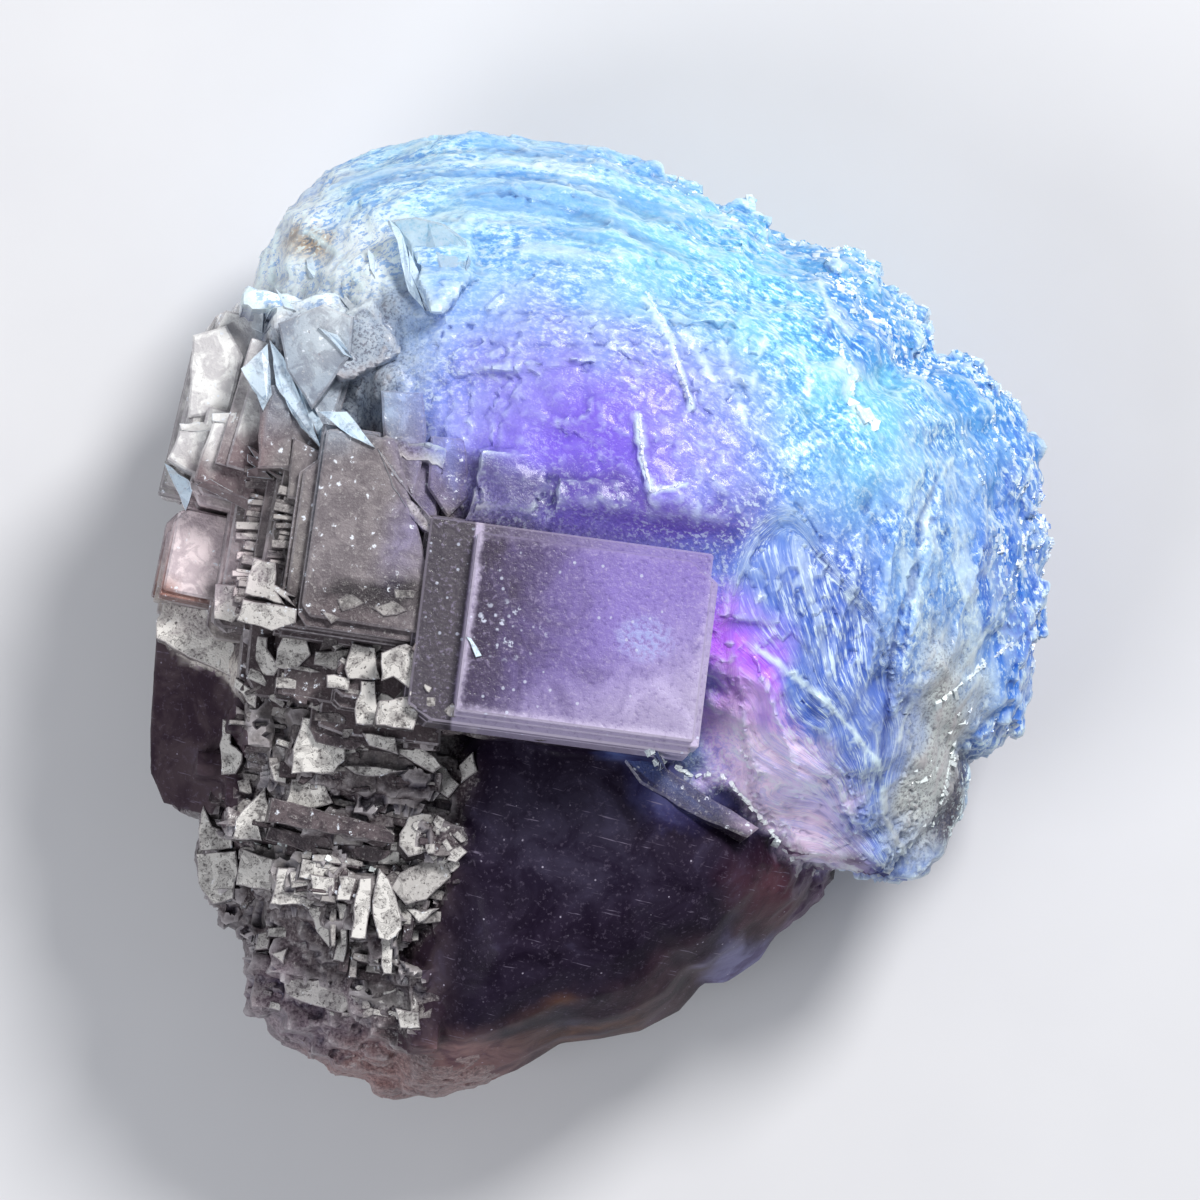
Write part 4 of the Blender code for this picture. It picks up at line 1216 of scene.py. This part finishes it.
def buildRim(mesh, settings):
    # little cubes that crowd the rim, thickest at the upper right; most are painted light all over as painted
    # glints
    rng = random.Random(seeds["rim"])
    points = pointsOf(mesh)
    normals = normalsOf(mesh)
    band = rimShare(points, normals, settings) * smoothStep(-0.15, 0.35, layeredNoise(points, 77, 0.35, 2))
    picks = np.flatnonzero(band > 0.02)
    chances = band[picks] / band[picks].sum()
    draws = np.random.default_rng(seeds["rimPicks"])
    chosen = draws.choice(picks, size=settings["count"], replace=True, p=chances)
    bm = startBlocks()
    for index in chosen:
        out = Vector(normals[index])
        side = settings["size"][0] + (settings["size"][1] - settings["size"][0]) * rng.random() ** 2.2
        axes = latticeAxes(rng.uniform(-30.0, 30.0)) @ Matrix.Rotation(rng.uniform(-0.5, 0.5), 3, "X")
        spot = Vector(points[index]) - out * (side * rng.uniform(0.3, 0.6)) + axes.col[2] * (side * 0.5)
        # three cubes in five are painted light all over, as painted glints
        shade = rng.random()
        marks = {"edge": 1.0 if shade < 0.6 else 0.0, "paintedShade": 0.0}
        size = (side, side * rng.uniform(0.6, 1.1), side * rng.uniform(0.8, 1.3))
        addBlock(bm, spot, size, axes, 0.0, marks, marks)
    return meshFrom(bm, "rimCubes")


# bright ridges and slivers, painted light all over, partly white ridges and partly painted glints: points
# along each in millimetres, its width and the share that is left out
glintMarks = {"edge": 1.0}
glintDepth = 1.2
glintLines = {
    "ridgeLong": {"points": [(3.2, 23.1), (4.0, 21.6), (4.9, 19.9), (5.5, 17.6), (6.4, 15.2)],
                  "width": 0.24, "gaps": 0.15},
    "ridgeHook": {"points": [(2.7, 14.4), (2.9, 11.6), (3.5, 9.0), (5.7, 9.6)], "width": 0.22, "gaps": 0.15},
    "ridgeRight": {"points": [(16.9, 19.9), (17.2, 18.3), (17.9, 17.2), (17.7, 15.9)],
                   "width": 0.4, "gaps": 0.2},
    "ridgeFoot": {"points": [(17.6, 15.6), (18.4, 14.6), (19.3, 13.9)], "width": 0.9, "gaps": 0.1},
    "sparkOne": {"points": [(29.6, -1.5), (28.1, -2.7), (26.7, -3.7), (25.2, -4.9), (23.8, -5.9)],
                 "width": 0.3, "gaps": 0.4},
    "sparkTwo": {"points": [(25.3, -8.8), (24.9, -10.6), (24.5, -12.4), (23.8, -15.3)],
                 "width": 0.3, "gaps": 0.4},
    "jagged": {"points": [(3.3, -8.8), (4.6, -10.2), (6.4, -11.0), (8.6, -11.0), (10.8, -13.4),
                          (13.7, -17.2)], "width": 0.36, "gaps": 0.45},
    "shelfEdge": {"points": [(-26.2, -15.3), (-21.1, -16.4), (-16.1, -17.8)], "width": 0.35, "gaps": 0.3},
}
# plates and slivers: how pale they are, how high they stand, their outlines in the picture
# etched ones are warm grey, cool ones blue white, blocks keep the stone's colour
shards = {
    "etched": [
        (0.8, 0.4, [(170, 602), (216, 604), (221, 622), (241, 646), (237, 675), (162, 638), (163, 620)]),
        (0.35, 0.9, [(224, 584), (252, 585), (248, 615), (241, 622), (223, 617)]),
        (0.65, 0.5, [(256, 600), (306, 609), (305, 622), (282, 629), (249, 619)]),
        (0.5, 0.6, [(264, 560), (287, 565), (287, 594), (306, 597), (305, 606), (256, 594)]),
        (0.8, 0.4, [(298, 626), (314, 637), (319, 652), (306, 666), (282, 666), (287, 647)]),
        (0.7, 0.4, [(324, 650), (356, 647), (359, 660), (340, 668), (322, 663)]),
        (0.7, 0.6, [(361, 642), (383, 647), (387, 676), (356, 676), (353, 666)]),
        (0.75, 0.4, [(389, 650), (414, 642), (422, 647), (417, 687), (401, 674), (388, 679)]),
        (0.8, 0.4, [(335, 671), (359, 676), (356, 687), (335, 684)]),
        (0.85, 0.7, [(369, 679), (383, 679), (385, 708), (380, 721), (364, 719), (363, 708)]),
        (0.7, 0.4, [(388, 697), (417, 692), (425, 708), (420, 724), (383, 721)]),
        (0.7, 0.5, [(266, 634), (274, 637), (274, 647), (287, 666), (282, 674), (261, 671)]),
        (0.9, 0.8, [(311, 713), (335, 719), (353, 729), (351, 756), (340, 769), (298, 769), (301, 745)]),
        (0.85, 0.4, [(298, 774), (330, 777), (340, 798), (319, 803), (293, 798)]),
        (0.9, 0.6, [(369, 729), (401, 733), (404, 750), (375, 742)]),
        (0.9, 0.6, [(401, 733), (430, 745), (446, 761), (438, 769), (404, 750)]),
        (0.9, 0.6, [(441, 758), (462, 779), (451, 793), (441, 785)]),
        (0.7, 0.4, [(462, 761), (475, 748), (480, 766), (464, 779)]),
        (0.85, 0.3, [(351, 761), (375, 762), (412, 766), (388, 771), (361, 770)]),
        (0.8, 0.4, [(229, 716), (239, 719), (237, 740), (250, 750), (248, 761), (242, 771), (229, 771),
                    (227, 742)]),
        (0.8, 0.4, [(242, 676), (264, 689), (264, 705), (256, 700), (242, 684)]),
        (0.8, 0.4, [(277, 761), (294, 758), (293, 779), (282, 777)]),
        (0.95, 0.7, [(272, 782), (277, 814), (264, 819), (269, 835), (240, 835), (242, 816), (256, 798)]),
        (0.0, 0.9, [(281, 792), (335, 808), (401, 822), (400, 838), (330, 826), (277, 816)]),
        (0.0, 0.5, [(276, 822), (330, 832), (398, 846), (380, 858), (320, 848), (272, 834)]),
        (0.0, 0.2, [(318, 726), (372, 738), (362, 746), (322, 738)]),
        (0.8, 0.4, [(207, 803), (216, 824), (237, 835), (235, 845), (203, 848), (203, 827)]),
        (0.75, 0.4, [(200, 851), (240, 848), (242, 869), (237, 896), (216, 901), (203, 880)]),
        (0.8, 0.7, [(248, 845), (281, 856), (277, 885), (241, 880)]),
        (0.85, 0.5, [(285, 861), (314, 867), (309, 898), (277, 898)]),
        (0.85, 0.4, [(316, 867), (340, 872), (340, 888), (319, 888)]),
        (0.85, 0.4, [(346, 869), (361, 872), (356, 893), (343, 894)]),
        (0.9, 0.7, [(364, 872), (377, 872), (372, 930), (356, 930)]),
        (0.9, 0.4, [(383, 837), (404, 845), (406, 861), (383, 859)]),
        (0.9, 0.4, [(384, 861), (393, 872), (404, 898), (406, 922), (393, 934), (383, 930), (377, 901)]),
        (0.85, 0.4, [(311, 898), (330, 901), (341, 934), (334, 944), (322, 925)]),
        (0.85, 0.4, [(343, 897), (352, 898), (352, 945), (346, 940)]),
        (0.7, 0.9, [(404, 827), (414, 811), (435, 808), (443, 824), (435, 843), (414, 851), (404, 840)]),
        (0.55, 0.8, [(404, 867), (430, 853), (457, 856), (454, 872), (430, 893), (412, 898), (396, 882)]),
        (0.85, 0.4, [(409, 901), (427, 904), (443, 902), (422, 917)]),
        (0.7, 0.4, [(449, 853), (462, 840), (472, 845), (459, 856)]),
        (0.7, 0.4, [(287, 974), (316, 976), (344, 972), (362, 990), (346, 1008), (318, 1002), (290, 990)]),
        (0.7, 0.4, [(400, 1000), (421, 1004), (424, 1019), (404, 1020)]),
        (0.6, 0.4, [(262, 930), (275, 926), (272, 945), (258, 947)]),
        (0.25, 0.1, [(345, 598), (362, 594), (372, 604), (352, 610)]),
        (0.3, 0.1, [(380, 606), (402, 600), (414, 610), (392, 616)]),
        (0.4, 0.1, [(330, 612), (350, 616), (340, 622)]),
        (0.3, 0.1, [(400, 588), (424, 592), (420, 599), (402, 597)]),
        (0.3, 0.1, [(412, 500), (432, 512), (448, 540), (430, 532), (416, 516)]),
        (0.6, 0.4, [(276, 948), (292, 943), (287, 960)]),
    ],
    "cool": [
        (0.7, 0.3, [(250, 375), (277, 350), (281, 400), (272, 416), (266, 400)]),
        (0.75, 0.4, [(279, 346), (300, 372), (331, 430), (330, 453), (309, 432), (285, 390)]),
        (0.9, 0.35, [(327, 417), (355, 417), (382, 452), (360, 442)]),
        (0.6, 0.3, [(327, 335), (345, 342), (361, 366), (352, 362)]),
        (0.8, 0.15, [(257, 450), (264, 452), (264, 470), (296, 473), (295, 482), (257, 480)]),
        (0.7, 0.15, [(205, 487), (220, 482), (263, 506), (258, 513)]),
        (0.9, 0.2, [(172, 465), (202, 487), (193, 512)]),
        (1.0, 0.35, [(392, 226), (404, 238), (413, 258), (417, 286), (428, 308), (444, 322), (430, 318),
                     (414, 300), (406, 272), (402, 250)]),
        (0.3, 0.1, [(385, 452), (392, 462), (418, 500), (450, 536), (447, 545), (425, 530), (400, 490)]),
        (0.9, 0.2, [(283, 296), (292, 304), (303, 318), (293, 314)]),
        (0.9, 0.2, [(372, 254), (379, 262), (381, 284), (375, 276)]),
        (0.9, 0.2, [(310, 262), (316, 259), (320, 284), (313, 282)]),
        (0.7, 0.2, [(188, 427), (219, 424), (222, 434), (190, 434)]),
        (0.85, 0.2, [(221, 418), (246, 416), (243, 426), (221, 425)]),
        (1.0, 0.2, [(471, 634), (476, 636), (486, 653), (481, 655)]),
        (0.9, 0.2, [(648, 735), (655, 745), (667, 770), (658, 765)]),
        (0.8, 0.2, [(343, 300), (352, 303), (367, 320), (356, 318)]),
        (0.8, 0.2, [(262, 312), (270, 318), (268, 338), (258, 332)]),
    ],
    "blocks": [
        (0.0, 0.4, [(387, 396), (428, 398), (432, 440), (420, 505), (392, 455)]),
        (0.0, 0.2, [(436, 440), (470, 444), (474, 500), (452, 520), (434, 492)]),
        (0.0, 0.6, [(287, 330), (332, 312), (360, 325), (357, 362), (320, 415), (295, 375)]),
        (0.0, 0.5, [(270, 392), (300, 388), (302, 470), (268, 472)]),
        (0.0, 0.6, [(222, 425), (267, 420), (264, 505), (203, 482)]),
        (0.0, 0.5, [(302, 440), (328, 455), (318, 505), (296, 500)]),
        (0.0, 0.5, [(188, 434), (219, 432), (208, 478), (176, 462)]),
        (0.0, 0.4, [(200, 340), (232, 330), (250, 360), (236, 415), (195, 420)]),
        (0.0, -0.1, [(608, 737), (640, 745), (700, 788), (757, 822), (745, 832), (690, 808), (640, 778)]),
    ],
}
# a point every bit along the edge, how far it strays, thickness and bevel, how dark the painted shade on the
# sides is
# bend is how far the plate may follow the ground
shardLooks = {"bit": 0.7, "ragged": 0.09, "thick": 1.6, "bevel": 0.07, "side": 0.8, "bend": 0.0}
coolLooks = {"bit": 0.6, "ragged": 0.05, "thick": 0.7, "bevel": 0.03, "side": 0.1, "bend": 0.5}
blockLooks = {"bit": 1.1, "ragged": 0.06, "thick": 2.4, "bevel": 0.16, "side": 0.3, "bend": 0.0}
lensLooks = {"bit": 0.9, "ragged": 0.03, "thick": 1.2, "bevel": 0.3, "side": 0.0, "bend": 0.9}


def addShard(bm, tree, shard, rng, settings):
    # a plate with a ragged edge, halfway between the crystals' own slant and that of the ground
    pale, rise, run = shard
    corners = [fromPicture(spot) for spot in run]
    ragged = []
    for start, end in zip(corners, corners[1:] + corners[:1]):
        count = max(1, round((end - start).length / settings["bit"]))
        for n in range(count):
            stray = Vector((rng.uniform(-1.0, 1.0), rng.uniform(-1.0, 1.0))) * settings["ragged"]
            ragged.append(start.lerp(end, n / count) + stray)
    middle = sum(corners, Vector((0.0, 0.0))) / len(corners)
    grounds = [groundUnder(tree, *corner.lerp(middle, 0.3)) for corner in corners]
    heights = sorted(spot.z for spot in grounds if spot is not None)
    top = heights[len(heights) * 2 // 3] + rise
    slant = slantUnder(tree, middle) + latticeAxes().col[2]
    slant += Vector((rng.uniform(-0.1, 0.1), rng.uniform(-0.1, 0.1), 0.0))
    slant.normalize()
    block = startBlocks()
    verts = []
    bend = settings["bend"]
    for spot in ragged:
        away = spot - middle
        height = top - (slant.x * away.x + slant.y * away.y) / slant.z
        ground = groundUnder(tree, *spot)
        if ground is not None:
            height += max(-bend, min(bend, ground.z + rise - height))
        verts.append(block.verts.new((spot.x, spot.y, height)))
    face = bmesh.ops.contextual_create(block, geom=verts)["faces"][0]
    lower = bmesh.ops.extrude_face_region(block, geom=[face])["geom"]
    lower = [item for item in lower if isinstance(item, bmesh.types.BMVert)]
    bmesh.ops.translate(block, vec=-slant * settings["thick"], verts=lower)
    bmesh.ops.holes_fill(block, edges=[edge for edge in block.edges if edge.is_boundary])
    rims = [edge for edge in block.edges if not any(vert in lower for vert in edge.verts)]
    cut = bmesh.ops.bevel(
        block, geom=rims, offset=settings["bevel"], offset_type="OFFSET", segments=1, profile=0.5,
        affect="EDGES", material=-1
    )
    bmesh.ops.recalc_face_normals(block, faces=block.faces)
    layers = {name: block.faces.layers.float.get(name) for name in ("edge", "paintedShade", "bloom")}
    for face in block.faces:
        if face.normal.dot(slant) > 0.95:
            face[layers["bloom"]] = pale
        else:
            face[layers["paintedShade"]] = settings["side"]
    # bevelled rims painted lighter, partly frost and partly painted highlight
    for face in cut["faces"]:
        face[layers["edge"]] = 0.25 + 0.6 * pale
        face[layers["paintedShade"]] = 0.0
    appendBlock(bm, block)


def buildShards(drawn, tree, seed, looks):
    rng = random.Random(seed)
    bm = startBlocks()
    for shard in drawn:
        addShard(bm, tree, shard, rng, looks)
    return meshFrom(bm, "shards")


def buildGlints(tree):
    # a chain of small faces along each line, seated on whatever lies under it
    rng = random.Random(seeds["ridges"])
    bm = startBlocks()
    for line in glintLines.values():
        run = [Vector(point) for point in line["points"]]
        for start, end in zip(run, run[1:]):
            count = max(2, round((end - start).length / (line["width"] * 0.5)))
            turn = math.degrees(math.atan2(end.y - start.y, end.x - start.x)) - lattice["turn"]
            for n in range(count):
                spot = start.lerp(end, (n + rng.uniform(0.2, 0.8)) / count)
                ground = groundUnder(tree, spot.x, spot.y)
                if ground is None or rng.random() < line["gaps"]:
                    continue
                wide = line["width"] * rng.uniform(0.4, 1.15)
                long = line["width"] * rng.uniform(0.8, 1.6)
                axes = latticeAxes(turn + rng.uniform(-32.0, 32.0))
                axes = axes @ Matrix.Rotation(rng.uniform(-0.5, 0.5), 3, "X")
                spot = Vector((spot.x, spot.y, ground.z + wide * 0.3))
                spot += axes.col[1] * rng.uniform(-0.25, 0.25) * wide
                cuts = [(rng.uniform(0.0, 6.28), rng.uniform(0.30, 0.55)) for n in range(2)]
                addBlock(bm, spot, (long, wide, glintDepth), axes, 0.0, glintMarks, glintMarks, cuts)
    return meshFrom(bm, "glints")


# the clear lens in the blue crust
lens = [
    (0.5, 0.2, [(392, 228), (420, 224), (448, 231), (470, 248), (475, 268), (464, 296), (442, 318),
                (428, 316), (414, 284), (412, 254)]),
]


def treeOf(*meshes):
    bm = bmesh.new()
    for mesh in meshes:
        bm.from_mesh(mesh)
    tree = BVHTree.FromBMesh(bm)
    bm.free()
    return tree


def buildStone():
    mass = buildMass()
    print("mass skin ready")
    square = buildCrystals(squareSizes, {**crystalLooks, **squareSlabs}, seeds["square"])
    stairs = buildCrystals(stairSizes, crystalLooks, seeds["stairs"])
    tree = treeOf(mass, square, stairs)
    plates = buildPlates(tree)
    etchedShards = buildShards(shards["etched"], tree, seeds["etched"], shardLooks)
    blocks = buildShards(shards["blocks"], tree, seeds["blocks"], blockLooks)
    clearLens = buildShards(lens, tree, seeds["lens"], lensLooks)
    wholeTree = treeOf(mass, square, stairs, blocks, clearLens)
    coolShards = buildShards(shards["cool"], wholeTree, seeds["cool"], coolLooks)
    rim = buildRim(mass, rimLooks)
    glints = buildGlints(tree)
    stone = stoneMaterial("fluorite_mass", fluorite, stoneLooks)
    smoky = smokyMaterial("fluorite_smoky", fluorite, smokyLooks)
    clearFaces = squareMaterial("fluorite_square", fluorite, squareLooks)
    faces = faceMaterial("fluorite_faces", faceLooks["stair"])
    etched = faceMaterial("fluorite_etched", faceLooks["etched"])
    cool = faceMaterial("fluorite_cool", faceLooks["cool"])
    sparkle = faceMaterial("fluorite_sparkle", faceLooks["sparkle"])
    glass = faceMaterial("fluorite_clear", faceLooks["clear"])
    pieces = [
        addPiece("fluorite_mass", mass, stone, smoky),
        addPiece("square_crystal", square, clearFaces),
        addPiece("stair_crystals", stairs, faces),
        addPiece("etched_plates", plates, etched),
        addPiece("etched_shards", etchedShards, etched),
        addPiece("cool_slivers", coolShards, cool),
        addPiece("stone_blocks", blocks, faces),
        addPiece("rim_cubes", rim, sparkle),
        addPiece("bright_ridges", glints, sparkle),
        addPiece("clear_lens", clearLens, glass),
    ]
    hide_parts(cadNode)
    print("stone ready")


studio = {
    "floor": 1.6,           # metres, and how far it lies under the stone
    "floorDrop": 0.0002,
    "floorColour": ("#d9d9dc", "#cfcfd3"),
    "lens": 300.0,
    "frameWidth": 87.0,     # what the picture spans at the level of the outline
    "outlineLevel": 15.0,
    "middle": (-0.1, 1.4),
    "world": 0.34,
    "worldColour": (0.92, 0.95, 1.0, 1.0),
    "aim": (0.0, 0.0, 0.02),    # the lamps point here, in metres
}
lamps = {
    "key": {"at": (0.19, 0.27, 0.42), "size": 0.14, "power": 2.6, "colour": (1.0, 0.99, 0.97)},
    "fill": {"at": (-0.34, -0.22, 0.42), "size": 0.30, "power": 1.4, "colour": (0.95, 0.97, 1.0)},
}


def buildStudio():
    bm = bmesh.new()
    bmesh.ops.create_grid(bm, x_segments=1, y_segments=1, size=studio["floor"] / 2.0)
    mesh = bpy.data.meshes.new("floor")
    bm.to_mesh(mesh)
    bm.free()
    graph = Graph("pale_floor")
    place = graph.place()
    shade = graph.mix(graph.noise(place, 0.05, 3.0), *(tone(code) for code in studio["floorColour"]))
    surface = graph.add("ShaderNodeBsdfPrincipled", None, {"Base Color": shade, "Roughness": 0.7}, "BSDF")
    output = graph.tree.nodes.new("ShaderNodeOutputMaterial")
    graph.tree.links.new(surface.socket, output.inputs["Surface"])
    mesh.materials.append(graph.material)
    floor = bpy.data.objects.new("floor", mesh)
    floor.location = (0.0, 0.0, -studio["floorDrop"])
    bpy.context.scene.collection.objects.link(floor)

    for name, settings in lamps.items():
        light = bpy.data.lights.new(name, "AREA")
        light.shape = "DISK"
        light.size = settings["size"]
        light.energy = settings["power"]
        light.color = settings["colour"]
        lamp = bpy.data.objects.new(name, light)
        lamp.location = settings["at"]
        towards = Vector(studio["aim"]) - Vector(settings["at"])
        lamp.rotation_euler = towards.to_track_quat("-Z", "Y").to_euler()
        bpy.context.scene.collection.objects.link(lamp)

    world = bpy.data.worlds.new("studio")
    world.use_nodes = True
    background = world.node_tree.nodes["Background"]
    background.inputs["Color"].default_value = studio["worldColour"]
    background.inputs["Strength"].default_value = studio["world"]
    bpy.context.scene.world = world
    bpy.context.scene.view_settings.view_transform = "Standard"

    camera = bpy.data.objects.new("camera", bpy.data.cameras.new("camera"))
    camera.data.lens = studio["lens"]
    distance = studio["frameWidth"] * camera.data.lens / camera.data.sensor_width
    camera.location = Vector((*studio["middle"], studio["outlineLevel"] + distance)) * mm
    camera.data.clip_end = 10.0
    bpy.context.scene.collection.objects.link(camera)
    bpy.context.scene.camera = camera
    print("studio ready")


buildStone()
buildStudio()
